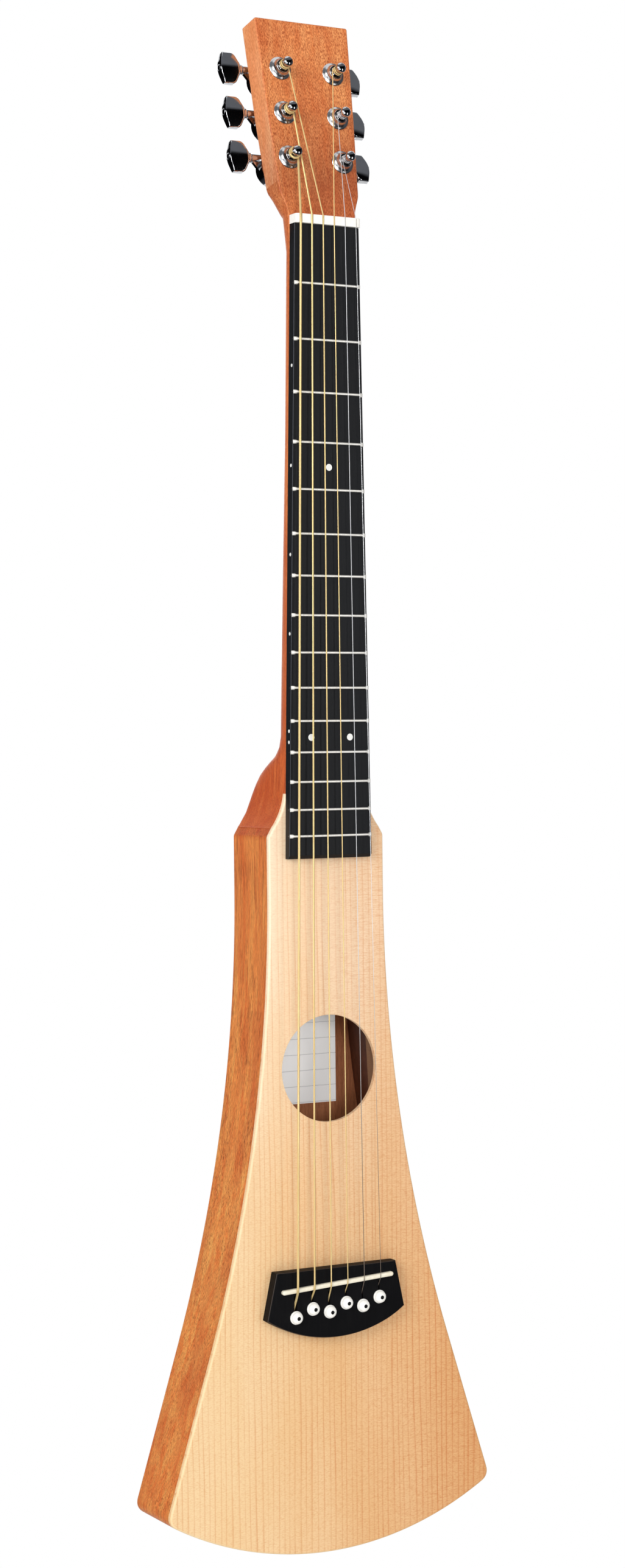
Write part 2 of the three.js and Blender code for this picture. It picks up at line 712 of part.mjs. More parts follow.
function stringPath(string) {
  const onNeck = (z) => vector(string.nutX, stringHeight(string), z).applyMatrix4(neckSet.matrixWorld)
  const onBody = (height, z) => vector(string.saddleX, -height, z).applyMatrix4(body.matrixWorld)
  const { radius, saddleZ, pinZ } = string
  const crest = saddleHeight + restGap + radius
  const crestHalf = saddleWidth / 4
  const ballHeight = -(topThickness + 2 * glueLine + bridgePlateThickness + fitGap + ballRadius)
  return [
    ...windingPath(string),
    onNeck(nutThickness),
    onNeck(0),
    onBody(crest, saddleZ + crestHalf),
    onBody(crest, saddleZ - crestHalf),
    onBody(bridgeHeight + radius, pinZ + stringMouth + radius),
    onBody(bridgeHeight / 2, pinZ + stringSetback(string) + radius / 2),
    onBody(bridgeHeight / 3, pinZ + stringSetback(string)),
    onBody(ballHeight, pinZ + stringSetback(string)),
  ]
}

// The least clear space between a string's turns, on points half its diameter apart
function leastGap(string) {
  const path = stringPath(string)
  const near = windingPath(string).length + 1
  const samples = []
  for (let i = 0; i + 1 < near; i += 1) {
    const length = path[i].distanceTo(path[i + 1])
    const count = Math.max(Math.ceil(length / string.radius), 1)
    for (let k = 0; k < count; k += 1) samples.push(path[i].clone().lerp(path[i + 1], k / count))
  }
  const runs = samples.map((point, i) => (i ? point.distanceTo(samples[i - 1]) : 0))
  let least = Infinity
  samples.forEach((point, i) => {
    let run = 0
    for (let k = i + 1; k < samples.length; k += 1) {
      run += runs[k]
      if (run > halfTurn * windingRadius(string)) least = Math.min(least, point.distanceTo(samples[k]))
    }
  })
  return least - 2 * string.radius
}

function buildStrings() {
  const ballHeight = topThickness + 2 * glueLine + bridgePlateThickness + fitGap
  strings.forEach((string) => {
    const besidePin = Math.max(pinTipRadius + fitGap + ballRadius, stringSetback(string))
    const ball = turned(rod(ballRadius, -ballHeight - 2 * ballRadius, -ballHeight), pinSides)
      .translate(string.saddleX, 0, string.pinZ + besidePin)
      .applyMatrix4(body.matrixWorld)
    const wire = sweep(stringPath(string), string.radius, stringSides)
    add(guitar, `string_${string.number}`, joined([wire, ball]), string.material())
    console.log(`string ${string.number}: least gap between turns ${leastGap(string).toFixed(2)} mm`)
  })
}

// Tuning machines. A bass-side machine is a mirror image of a treble-side one.
const shaftCentre = -headThickness - shaftBehind
const wormOuter = wormCore + toothHeight
const mirrored = (geometry, side) => facingOut(geometry.scale(side, 1, 1))

function gearBlank() {
  const outer = shaftRise - wormCore - meshGap
  const root = shaftRise - wormOuter - meshGap
  const wormMean = (wormCore + wormOuter) / 2
  const slant = toothPitch / (fullTurn * wormMean) / (shaftRise - wormMean)
  return loft([-1, 1].map((end) => {
    const y = (end * gearThickness) / 2
    return Array.from({ length: gearTeeth }, (_, i) => {
      const middle = (fullTurn * (i + 1 / 2)) / gearTeeth + slant * y
      return [
        [root, -toothRoot / root / 2],
        [outer, -toothTip / outer / 2],
        [outer, toothTip / outer / 2],
        [root, toothRoot / root / 2],
      ].map(([radius, offset]) => vector(
        radius * Math.sin(middle + offset), y - shaftCentre, radius * Math.cos(middle + offset)))
    }).flat()
  }))
}

function postGeometry() {
  const capShare = 0.6
  const foot = -headThickness - postFoot
  const stem = turned([
    [0, foot],
    [postRadius, foot],
    [postRadius, waistLow - waistFlare],
    [waistRadius, waistLow],
    [waistRadius, waistHigh],
    [postRadius, waistHigh + waistFlare],
    [postRadius, postTop - postDomeDrop],
    [postRadius * capShare, postTop - postDomeDrop / 4],
    [0, postTop],
  ], boreSides)
  return joined([stem, gearBlank()])
}

function bushingGeometry() {
  const bore = clearOf(postRadius, boreSides)
  const lipShare = 0.85
  return turned([
    [bore, -bushingDepth],
    [bushingRadius, -bushingDepth],
    [bushingRadius, glueLine],
    [bushingFlangeRadius, glueLine],
    [bushingFlangeRadius * lipShare, bushingFlange],
    [bushingTopRadius, bushingTop],
    [bore, bushingTop],
    [bore, -bushingDepth],
  ], boreSides)
}

function wormThread() {
  const steps = wormTurns * wormSteps
  const inside = wormCore / 2
  return loft(Array.from({ length: steps + 1 }, (_, i) => {
    const turn = fullTurn * (i / wormSteps - wormTurns / 2)
    const x = (toothPitch * turn) / fullTurn
    return [
      [inside, -toothRoot / 2],
      [wormOuter, -toothTip / 2],
      [wormOuter, toothTip / 2],
      [inside, toothRoot / 2],
    ].map(([radius, offset]) => vector(x + offset, radius * Math.sin(turn), -radius * Math.cos(turn)))
  }))
}

const wormHalf = (wormTurns * toothPitch + toothRoot) / 2
function knobGeometry(side) {
  const end = wormHalf + wormShoulder / 4
  const spindle = turnedAcross([
    [0, -end],
    [wormCore, -end],
    [wormCore, wormHalf],
    [shaftRadius, wormHalf + wormShoulder],
    [shaftRadius, collarStart],
    [collarRadius, collarStart],
    [collarRadius, buttonStart + shaftRadius / 2],
    [0, buttonStart + shaftRadius / 2],
  ], pinSides)
  const outlineShares = [[0, 0], [0.05, 0.36], [0.1, 0.62], [0.17, 1], [0.73, 1], [1, 0.25]]
  const mirroredShares = outlineShares.slice(1).reverse().map(([inward, up]) => [inward, -up])
  const layer = (y, bevel) => [...outlineShares, ...mirroredShares].map(([inward, up]) => vector(
    buttonStart + buttonLength / 2 + (1 / 2 - inward) * (buttonLength - 2 * bevel),
    y,
    up * (buttonHeight / 2 - bevel),
  ))
  const flatHalf = buttonThickness / 2 - buttonBevel
  const button = loft([
    layer(-buttonThickness / 2, buttonBevel),
    layer(-flatHalf, 0),
    layer(flatHalf, 0),
    layer(buttonThickness / 2, buttonBevel),
  ])
  if (side > 0) button.rotateX(rightKnobTurn)
  return joined([spindle, wormThread(), button]).translate(0, -shaftCentre, shaftRise)
}

function housingGeometry() {
  const front = -headThickness - glueLine
  const back = -headThickness - housingDepth
  const cavityFloor = -headThickness - postFoot - fitGap
  const cavityRadius = clearOf(shaftRise - wormCore - meshGap, boreSides)
  const chamberHalf = wormHalf + wormShoulder
  const placeShaft = (geometry) => geometry.translate(0, -shaftCentre, shaftRise)
  const disc = turned([
    [0, back],
    [housingRadius - housingRound, back],
    [housingRadius, back + housingRound],
    [housingRadius, front],
    [0, front],
  ], housingSides)
  const sleeve = placeShaft(turnedAcross(rod(sleeveRadius, chamberHalf, sleeveEnd), boreSides))
  const gusset = plate([
    flat(postOffset / 2, -sleeveRadius),
    flat(sleeveEnd, shaftRise - sleeveRadius / 2),
    flat(postOffset / 2, shaftRise),
  ], -shaftCentre - gussetThickness / 2, -shaftCentre + gussetThickness / 2)
  const lug = plate([
    flat(-lugHalf, -housingRadius / 2),
    flat(-lugHalf, lugHalf - lugReach),
    flat(-lugHalf / 2, -lugReach),
    flat(lugHalf / 2, -lugReach),
    flat(lugHalf, lugHalf - lugReach),
    flat(lugHalf, -housingRadius / 2),
  ], -front, -front + lugThickness)
  const lugHole = plate(circle(0, lugHalf - lugReach, lugHoleRadius, pinSides),
    -front - overrun, -front + lugThickness + overrun)
  const cavity = turned(rod(cavityRadius, cavityFloor, front + overrun), boreSides)
  const chamber = placeShaft(
    turnedAcross(rod(clearOf(wormOuter, boreSides), -chamberHalf, chamberHalf), boreSides))
  const bore = placeShaft(
    turnedAcross(rod(clearOf(shaftRadius, pinSides), 0, sleeveEnd + overrun), pinSides))
  return cutFrom(joined([disc, sleeve, gusset, lug]), [lugHole, cavity, chamber, bore])
}

function buildTuners() {
  strings.forEach(({ number, side, postHeight }) => {
    const machine = new THREE.Group()
    machine.position.set(side * postOffset, 0, postHeight)
    head.add(machine)
    add(machine, `tuner_housing_${number}`, mirrored(housingGeometry(), side), chrome())
    add(machine, `tuner_bushing_${number}`, bushingGeometry(), chrome())
    add(machine, `tuner_post_${number}`, mirrored(postGeometry(), side), chrome())
    add(machine, `tuner_knob_${number}`, mirrored(knobGeometry(side), side), chrome())
  })
}

buildBody()
buildBracing()
buildBridge()
buildPins()
buildNeck()
buildFingerboard()
buildFrets()
buildNut()
buildStrings()
buildTuners()

export default guitar
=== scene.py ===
import math
import bmesh
import bpy
from mathutils import Matrix, Vector


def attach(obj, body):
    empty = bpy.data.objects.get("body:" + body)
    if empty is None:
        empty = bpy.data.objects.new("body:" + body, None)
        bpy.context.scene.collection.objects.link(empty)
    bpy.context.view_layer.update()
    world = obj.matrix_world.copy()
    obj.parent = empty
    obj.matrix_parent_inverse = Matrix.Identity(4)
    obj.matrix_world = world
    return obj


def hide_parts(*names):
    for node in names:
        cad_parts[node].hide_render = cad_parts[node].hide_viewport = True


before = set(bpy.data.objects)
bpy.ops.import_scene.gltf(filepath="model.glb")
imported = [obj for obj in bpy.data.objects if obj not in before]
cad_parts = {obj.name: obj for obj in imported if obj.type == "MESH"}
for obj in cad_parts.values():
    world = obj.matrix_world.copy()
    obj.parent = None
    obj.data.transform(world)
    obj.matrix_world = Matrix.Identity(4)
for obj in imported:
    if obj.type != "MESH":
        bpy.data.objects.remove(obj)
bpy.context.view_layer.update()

scene = bpy.context.scene
scene.view_settings.view_transform = "Standard"

# Lengths are in millimetres until a piece is finished, and then in metres
millimetre = 0.001
gap = {"glue": 0.1, "fit": 0.3, "rest": 0.15, "hair": 0.02, "seat": 0.03, "overrun": 2}
layout = {                          # the origin lies behind the board's face and above the nut's front edge
    "originBehind": 15,
    "originAbove": 13,
    "neckTilt": math.radians(0.48),
    "headTilt": math.radians(11.37),
}

scale = {
    "length": 609.6,
    "frets": 15,
    "compensation": 4.4,
    "nutSpread": 36.7,
    "saddleSpread": 55.5,
    "diameters": [1.37, 1.07, 0.81, 0.61, 0.41, 0.3],    # the bass string first
    "woundStrings": 4,
    "nutAction": 0.4,
    "lowestSag": 1,
}
board = {
    "nutWidth": 42.6,
    "octaveWidth": 52.8,
    "pastFrets": 13.2,
    "thickness": 6.3,
    "radius": 406,
    "endBevel": 2,
    "nutBevel": 0.3,
    "nutBevelRun": 0.4,
    "edge": 0.45,
    "steps": 24,
    "slotHalf": 0.31,
    "slotDepth": 3,
    "cutHalf": 40,
}
body = {
    "jointFret": 13,
    "shoulderPastFret": 1.7,
    "topPastShoulder": 5,
    "depth": 45.8,
    "top": 3,
    "topProud": 0.26,
    "back": 3,
    "wall": 5.5,
    "neckBlock": 26,
    "tailBlock": 12,
    "waist": 38.1,
    "shoulderRadius": 40.5,
    "shoulderTurn": math.radians(38),
    "cornerDrop": 4.8,
    "cornerRound": 0.8,
    "waistLength": 36.5,
    "flareRadius": 888,
    "flareTurn": math.radians(17.4),
    "tailRadius": 206,
    "tailCut": 6,
    "holeRadius": 31.2,
    "holeSetback": 140.8,
    "tailPastSaddle": 158.5,
    "frontRound": 1.5,
    "backRound": 1.8,
    "holeRound": 0.35,
    "seamClear": 0.5,
}
bridge = {
    "aboveSaddle": 9.4,
    "side": 27.4,
    "sag": 13.5,
    "topHalf": 39.7,
    "lowHalf": 45.7,
    "height": 6.9,
    "edge": 0.9,
    "thinEnds": 1.0,
    "flatHalf": 30,
    "cuts": [34, 38, 41, 44],
    "holesHalf": 34,
    "holesFrom": 2,
    "holesTo": 28,
}
head = {
    "length": 118.8,
    "thickness": 16.5,
    "topHalf": 30.9,
    "lowHalf": 26.4,
    "shoulder": 16.5,
    "nutThickness": 5.2,
    "nutTop": 8.4,
    "nutShelf": 1.46,
}


# Places down the guitar, from the nut's front edge
def fretDrop(fret):
    return scale["length"] * (1 - 2 ** (-fret / 12))


def boardHalf(drop):
    grown = (board["octaveWidth"] - board["nutWidth"]) * drop / (scale["length"] / 2)
    return (board["nutWidth"] + grown) / 2


def boardSag(x):
    return x * x / (2 * board["radius"])


boardLength = fretDrop(scale["frets"]) + board["pastFrets"]
shoulderStart = fretDrop(body["jointFret"]) + body["shoulderPastFret"]
shoulderEnd = shoulderStart + body["shoulderRadius"] * math.sin(body["shoulderTurn"])
bodyStart = shoulderStart + body["topPastShoulder"]
flareStart = shoulderEnd + body["waistLength"]
holeDrop = shoulderEnd + body["holeSetback"]
saddleDrop = scale["length"] + scale["compensation"]
bridgeTop = saddleDrop - bridge["aboveSaddle"]
bridgeTail = bridgeTop + bridge["side"] + bridge["sag"]
bodyEnd = saddleDrop + body["tailPastSaddle"]

neckAt = (Matrix.Translation((0, -layout["originBehind"], -layout["originAbove"]))
          @ Matrix.Rotation(layout["neckTilt"], 4, "X"))
headAt = (neckAt @ Matrix.Translation((0, board["thickness"], head["nutThickness"] + head["nutShelf"]))
          @ Matrix.Rotation(-layout["headTilt"], 4, "X"))
topSetBack = ((board["thickness"] - body["topProud"]) * math.cos(layout["neckTilt"])
              + bodyStart * math.sin(layout["neckTilt"]))
bodyAt = Matrix.Translation((0, topSetBack - layout["originBehind"], -layout["originAbove"]))
bodyOnNeck = neckAt.inverted() @ bodyAt
headOnNeck = neckAt.inverted() @ headAt


# The photograph's camera, placed in the neck's own frame
camera = {
    "place": (-797.67, -1429.38, -287.30),
    "yaw": math.radians(-28.783),
    "pitch": math.radians(1.260),
    "roll": math.radians(0.415),
    "lens": 64.69,
    "sensor": 36,
    "near": 0.05,
    "far": 100,
}


def placeCamera():
    turn = Matrix.Rotation(camera["yaw"], 3, "Z")
    right = turn @ Vector((1, 0, 0))
    ahead = turn @ Vector((0, math.cos(camera["pitch"]), -math.sin(camera["pitch"])))
    down = ahead.cross(right)
    side = right * math.cos(camera["roll"]) + down * math.sin(camera["roll"])
    low = -right * math.sin(camera["roll"]) + down * math.cos(camera["roll"])
    aim = Matrix((side, -low, -ahead)).transposed()
    eye = bpy.data.objects.new("photo_camera", bpy.data.cameras.new("photo_camera"))
    scene.collection.objects.link(eye)
    eye.data.lens = camera["lens"]
    eye.data.sensor_width = camera["sensor"]
    eye.data.clip_start = camera["near"]
    eye.data.clip_end = camera["far"]
    spot = millimetre * (neckAt @ Vector(camera["place"]))
    eye.matrix_world = Matrix.Translation(spot) @ (neckAt.to_3x3() @ aim).to_4x4()
    scene.camera = eye


placeCamera()
print("camera placed")


# Finishes
def colour(code):
    parts = [int(code[i:i + 2], 16) / 255 for i in (1, 3, 5)]
    return tuple(p / 12.92 if p <= 0.04045 else ((p + 0.055) / 1.055) ** 2.4 for p in parts) + (1,)


class Strand:                       # one socket's value, so that sums read as sums
    def __init__(self, nodes, socket):
        self.nodes = nodes
        self.socket = socket

    def sum(self, operation, first, second):
        return self.nodes.add("ShaderNodeMath", {"operation": operation}, {0: first, 1: second})

    def __add__(self, other):
        return self.sum("ADD", self, other)

    def __radd__(self, other):
        return self.sum("ADD", other, self)

    def __sub__(self, other):
        return self.sum("SUBTRACT", self, other)

    def __rsub__(self, other):
        return self.sum("SUBTRACT", other, self)

    def __mul__(self, other):
        return self.sum("MULTIPLY", self, other)

    def __rmul__(self, other):
        return self.sum("MULTIPLY", other, self)

    def __pow__(self, other):
        return self.sum("POWER", self, other)


class Nodes:                        # a node tree and what is often added to one
    def __init__(self, tree):
        self.tree = tree

    def add(self, kind, settings=None, sockets=None, output=0):
        node = self.tree.nodes.new(kind)
        for key, value in (settings or {}).items():
            if key == "stops":
                ramp = node.color_ramp
                while len(ramp.elements) < len(value):
                    ramp.elements.new(1)
                for element, (place, shade) in zip(ramp.elements, value):
                    element.position = place
                    element.color = shade
            else:
                setattr(node, key, value)
        for key, value in (sockets or {}).items():
            if isinstance(value, Strand):
                self.tree.links.new(value.socket, node.inputs[key])
            else:
                node.inputs[key].default_value = value
        return Strand(self, node.outputs[output]) if node.outputs else None

    def noise(self, stretch, shift=(0, 0, 0), detail=2.0, rough=0.5, warp=0.0):
        places = self.add("ShaderNodeMapping", {}, {
            "Vector": self.add("ShaderNodeTexCoord", output="Object"),
            "Scale": [s / millimetre for s in stretch],
            "Location": shift,
        })
        return self.add("ShaderNodeTexNoise", {}, {
            "Vector": places,
            "Scale": 1.0,
            "Detail": detail,
            "Roughness": rough,
            "Distortion": warp,
        }, "Fac")

    def along(self, axis):
        here = self.add("ShaderNodeTexCoord", output="Object")
        return self.add("ShaderNodeSeparateXYZ", {}, {"Vector": here}, axis) * (1 / millimetre)

    def span(self, value, low, high, start=0.0, end=1.0):
        return self.add("ShaderNodeMapRange", {"clamp": True}, {
            "Value": value,
            "From Min": low,
            "From Max": high,
            "To Min": start,
            "To Max": end,
        })

    def mix(self, share, first, second, blend="MIX"):
        return self.add("ShaderNodeMix", {"data_type": "RGBA", "blend_type": blend},
                        {0: share, 6: first, 7: second}, 2)

    def shaderMix(self, share, first, second):
        return self.add("ShaderNodeMixShader", {}, {0: share, 1: first, 2: second})

    def seenDirectly(self):         # 1 for what the camera, a mirror or glass sees
        rays = [self.add("ShaderNodeLightPath", output=f"Is {kind} Ray")
                for kind in ("Camera", "Glossy", "Transmission")]
        either = self.add("ShaderNodeMath", {"operation": "MAXIMUM"}, {0: rays[0], 1: rays[1]})
        return self.add("ShaderNodeMath", {"operation": "MAXIMUM"}, {0: either, 1: rays[2]})


class Finish(Nodes):                # one material
    def __init__(self, name, **constants):
        self.material = bpy.data.materials.new(name)
        self.material.use_nodes = True
        super().__init__(self.material.node_tree)
        self.shader = self.tree.nodes["Principled BSDF"]
        for socket, value in constants.items():
            self.shader.inputs[socket.replace("_", " ")].default_value = value

    def feed(self, socket, strand):
        self.tree.links.new(strand.socket, self.shader.inputs[socket])

    def bump(self, height, depth, strength=1.0):
        self.feed("Normal", self.add("ShaderNodeBump", {}, {
            "Height": height,
            "Distance": depth * millimetre,
            "Strength": strength,
        }, "Normal"))

    def surface(self, strand):
        self.tree.links.new(strand.socket, self.tree.nodes["Material Output"].inputs["Surface"])


def brownWood(name, tones, pores, toneAndShade, seed=0.0):
    made = Finish(name, Coat_Weight=0.06, Coat_Roughness=0.4, Specular_IOR_Level=0.35)
    light, mid, red, pore = (colour(tones[key]) for key in ("light", "mid", "red", "pore"))
    across, down = pores["across"], pores["down"]
    wander = made.noise((0.05, 0.05, 0.02), (seed, 0, 0))
    streaks = made.noise((0.22, 0.22, 0.006), (0, seed, 0), 5.0, 0.7, 0.4)
    clouds = made.noise((0.06, 0.06, 0.014), (0, 0, seed))
    silk = made.noise((2.6, 2.6, 0.12), (seed, 0, 7), 3.0, 0.6)
    flecks = made.noise((across, across, down), (0, seed, 3), 2.0, 0.6)
    flecks = made.span(flecks, 0.42, 0.64)
    long = made.noise((across * 0.7, across * 0.7, down * 0.14), (seed, 5, 0), 4.0, 0.7)
    long = made.span(long, 0.5, 0.66) * made.span(wander, 0.35, 0.65, 0.4, 1.0)
    finely = made.span(made.along("Z"), pores["fineFrom"], pores["fineTo"])
    base = made.mix(made.span(streaks, 0.36, 0.64), light, mid)
    base = made.mix(made.span(clouds, 0.38, 0.68) * 0.6, base, red)
    base = made.mix(made.span(silk, 0.45, 0.75) * 0.4, base, pore)
    base = made.mix(flecks * (finely * 0.6 + 0.4) * pores["short"], base, pore)
    base = made.mix(long * (1 - finely * 0.7) * pores["long"], base, pore)
    # the ramp along Z multiplies each wood by its own tone and by painted shade
    low, high = toneAndShade["from"], toneAndShade["to"]
    stops = [((z - low) / (high - low), colour(tint)) for z, tint in toneAndShade["stops"]]
    tint = made.add("ShaderNodeValToRGB", {"stops": stops}, {0: made.span(made.along("Z"), low, high)})
    made.feed("Base Color", made.mix(1.0, base, tint, "MULTIPLY"))
    made.feed("Roughness", made.span(silk, 0.2, 0.8, 0.42, 0.58))
    made.bump(silk * 0.5 - flecks * 0.4 - long * 0.4, 0.04, 0.5)
    return made.material


def paleWood(name, tones, lineDepth=0.8, tickDepth=0.5, rightShade="#F3DEC6", lowShade="#F4E6CC",
             ringWidth=3.7):
    made = Finish(name, Coat_Weight=0.06, Coat_Roughness=0.4, Specular_IOR_Level=0.35)
    pale, warm, line, tick = (colour(tones[key]) for key in ("pale", "warm", "line", "tick"))
    sway = made.noise((0.02, 0.02, 0.004))
    packed = made.noise((0.13, 0.13, 0.0008))
    rings = made.along("X") + sway * 7.0 + packed * 6.0
    phase = made.add("ShaderNodeMath", {"operation": "FRACT"}, {0: rings * (1 / ringWidth)})
    late = made.noise((0.12, 0.12, 0.02), (9, 0, 2), 3.0)
    lines = made.span(phase, 0.4, 0.92) ** 4.0 * made.span(phase, 1.0, 0.93)
    lines = lines * made.span(late, 0.3, 0.65, 0.35, 1.0)
    ticks = made.noise((0.6, 0.6, 3.0), (0, 0, 5), 3.0, 0.7)
    ticks = made.span(ticks, 0.47, 0.66)
    ripples = made.noise((0.13, 0.13, 1.9), (3, 0, 5), 4.0, 0.7, 0.2)
    ripples = made.span(ripples, 0.48, 0.64)
    right = made.span(made.along("X"), -70.0, 90.0)
    low = made.span(made.along("Z"), -420.0, -620.0)
    clouds = made.noise((0.03, 0.03, 0.008), (4, 0, 1))
    base = made.mix(made.span(clouds, 0.3, 0.7), pale, warm)
    base = made.mix(ticks * tickDepth * (right * 0.5 + low * 0.3 + 0.3), base, tick)
    base = made.mix(ripples * (right ** 2.0 * (0.85 - low * 0.55) + 0.06), base, tick)
    base = made.mix(lines * lineDepth * (low * (right * 0.4 + 0.15) + 0.45), base, line)
    # painted shade: the colour is multiplied darker towards the right side and towards the tail end
    for share, end in ((right, rightShade), (low, lowShade)):
        base = made.mix(1.0, base, made.mix(share, colour("#FFFFFF"), colour(end)), "MULTIPLY")
    made.feed("Base Color", base)
    made.feed("Roughness", made.span(ticks, 0.0, 1.0, 0.48, 0.6))
    made.bump(lines * 0.5 - ticks * 0.3, 0.02, 0.5)
    return made.material


def blackWood(name, shade, light, roughness, grain=0.35, gloss=0.2):
    made = Finish(name, Specular_IOR_Level=gloss)
    fine = made.noise((1.6, 1.6, 0.07), detail=3.0, rough=0.6)
    specks = made.noise((2.4, 2.4, 0.9), (0, 2, 0))
    base = made.mix(made.span(fine, 0.45, 0.8) * grain, colour(shade), colour(light))
    made.feed("Base Color", made.mix(made.span(specks, 0.6, 0.8) * 0.3, base, colour(light)))
    made.feed("Roughness", made.span(fine, 0.2, 0.8, roughness - 0.08, roughness + 0.1))
    made.bump(fine, 0.03, 0.4)
    return made.material


def ruledPaper(name, shade, ink, aged, shadowTone, linePitch=9.5, shadowFrom=245.0, shadowTo=205.0):
    # the paper glows faintly white: painted light inside the soundhole
    made = Finish(name, Roughness=0.8, Specular_IOR_Level=0.2, Emission_Color=(1, 1, 1, 1),
                  Emission_Strength=0.17)
    height = made.add("ShaderNodeMath", {"operation": "FRACT"}, {0: made.along("Z") * (1 / linePitch)})
    offLine = made.add("ShaderNodeMath", {"operation": "ABSOLUTE"}, {0: height - 0.5})
    rule = made.span(offLine, 0.02, 0.03, 1.0, 0.0)
    fibre = made.noise((1.2, 1.2, 1.2), detail=3.0)
    base = made.mix(made.span(fibre, 0.3, 0.8) * 0.3, colour(shade), colour(aged))
    # painted shadow: darker towards the label's top left corner
    corner = made.along("X") - made.along("Z") * 0.5
    base = made.mix(made.span(corner, shadowFrom, shadowTo), base, colour(shadowTone))
    made.feed("Base Color", made.mix(rule * 0.55, base, colour(ink)))
    made.bump(fibre, 0.02, 0.4)
    return made.material


def moulded(name, shade, tint, roughness, coat=0.2):
    made = Finish(name, Coat_Weight=coat, Coat_Roughness=0.2)
    clouds = made.noise((0.5, 0.5, 0.5), detail=3.0)
    fine = made.noise((4, 4, 4))
    made.feed("Base Color", made.mix(made.span(clouds, 0.35, 0.7) * 0.6, colour(shade), colour(tint)))
    made.feed("Roughness", made.span(fine, 0.2, 0.8, roughness - 0.05, roughness + 0.08))
    made.bump(fine, 0.012, 0.4)
    return made.material


def metal(name, shade, tint, roughness, rough, metallic=1.0, lower=None, lowFrom=-430, lowTo=-560):
    made = Finish(name, Metallic=metallic)
    haze = made.noise((0.12, 0.12, 0.12), detail=3.0)
    fine = made.noise((6, 6, 6))
    base = made.mix(made.span(haze, 0.4, 0.75) * 0.5, colour(shade), colour(tint))
    # the lower colour is a painted reflection: darker towards the bridge, as if mirroring the dark wood below
    # the soundhole
    if lower:
        base = made.mix(made.span(made.along("Z"), lowFrom, lowTo), base, colour(lower))
    made.feed("Base Color", base)
    made.feed("Roughness", made.span(haze * 0.6 + fine * 0.4, 0.3, 0.7, roughness, rough))
    made.bump(fine, 0.004, 0.3)
    return made.material


def highlightedWire(name, crest, flank):
    made = Finish(name, Metallic=0.3)
    # painted highlight: bright where a vertex's crest value is high, and dark flanks as a painted reflection
    # of the black board
    height = made.add("ShaderNodeAttribute", {"attribute_name": "crest"}, output="Fac")
    fine = made.noise((1.2, 9, 9))
    base = made.mix(made.span(height, 0.2, 0.8), colour(flank), colour(crest))
    made.feed("Base Color", made.mix(made.span(fine, 0.4, 0.7) * 0.12, base, colour(flank)))
    made.feed("Roughness", made.span(fine, 0.3, 0.7, 0.26, 0.38))
    made.bump(fine, 0.004, 0.3)
    return made.material


def woundWire(name, shade, grooveShade, pitch):
    made = Finish(name, Metallic=0.5)
    run = made.add("ShaderNodeAttribute", {"attribute_name": "run"}, output="Fac")
    wave = made.add("ShaderNodeMath", {"operation": "SINE"}, {0: run * (math.tau / pitch)})
    turns = made.span(wave, -1.0, 1.0)
    tone = made.noise((0.08, 0.08, 0.03))
    # painted shade: darker in the grooves between the turns, alongside the bump
    base = made.mix(turns, colour(grooveShade), colour(shade))
    made.feed("Base Color", made.mix(made.span(tone, 0.4, 0.7) * 0.25, base, colour(grooveShade)))
    made.feed("Roughness", made.span(tone, 0.3, 0.7, 0.3, 0.42))
    made.bump(turns, 0.03, 0.6)
    return made.material


# along the neck: the redder heel is the wood's own tone; the headstock's face, darker at its lower end and
# lighter towards its top, is painted shade
neckToneAndShade = {"from": -380, "to": 120, "stops": [
    (-380, "#E4AC86"), (-320, "#E9AF86"), (-280, "#F2CDB4"), (-20, "#F4D2BC"), (15, "#DDCAC6"),
    (60, "#FDEEE2"), (100, "#FFF0E4")]}
# along the body: darker towards the tail end and slightly towards the shoulders is painted shade; the darker,
# redder strip just below the seam is the heel's redder wood together with painted shade
bodyToneAndShade = {"from": -800, "to": -340, "stops": [
    (-800, "#F8E2D2"), (-640, "#FFFFF4"), (-367.3, "#F6E0CC"), (-366.5, "#DFAF9A"), (-345, "#DFAF9A")]}
neckPores = {"across": 2.5, "down": 0.56, "short": 0.85, "long": 0.85, "fineFrom": -90, "fineTo": 10}
bodyPores = {"across": 2.3, "down": 0.34, "short": 0.7, "long": 1.0, "fineFrom": 0, "fineTo": 10}
roughPores = {"across": 2.3, "down": 0.6, "short": 0.45, "long": 0.7, "fineFrom": 0, "fineTo": 10}
neckWood = brownWood("neck wood", {"light": "#FFB877", "mid": "#EA9153", "red": "#D06E3A", "pore": "#9C441C"},
                     neckPores, neckToneAndShade)
# a lighter copy of the neck wood for the headstock's sides: painted light, as the light falls from the left
litHeadSide = brownWood("headstock sides painted lighter", {"light": "#FFCE9C", "mid": "#FCAE76", "red": "#EE985F",
                                        "pore": "#C6723C"}, neckPores, neckToneAndShade, 5.0)
bodyWood = brownWood("body wood", {"light": "#FFB866", "mid": "#F2853E", "red": "#D26630", "pore": "#6E280C"},
                     bodyPores, bodyToneAndShade, 17.0)
rawWood = brownWood("unfinished wood", {"light": "#D6946E", "mid": "#BC7A56", "red": "#A86846",
                                        "pore": "#643420"}, roughPores, bodyToneAndShade, 31.0)
# very dark brown for the side frame's inner faces: partly the raw wood's duller tone, mostly painted shade
# inside the body
shadedInnerWood = brownWood("inside of the sides in painted shade", {"light": "#6C3C26", "mid": "#582E1C", "red": "#4A2416",
                                          "pore": "#2C120A"}, roughPores, bodyToneAndShade, 47.0)
# the last colour is the painted shade towards the soundboard's right side
spruce = paleWood("soundboard spruce", {"pale": "#FDEACE", "warm": "#F8DEB9", "line": "#D98A44",
                                        "tick": "#DD9A60"}, 0.8, 0.55, "#EFD6C1")
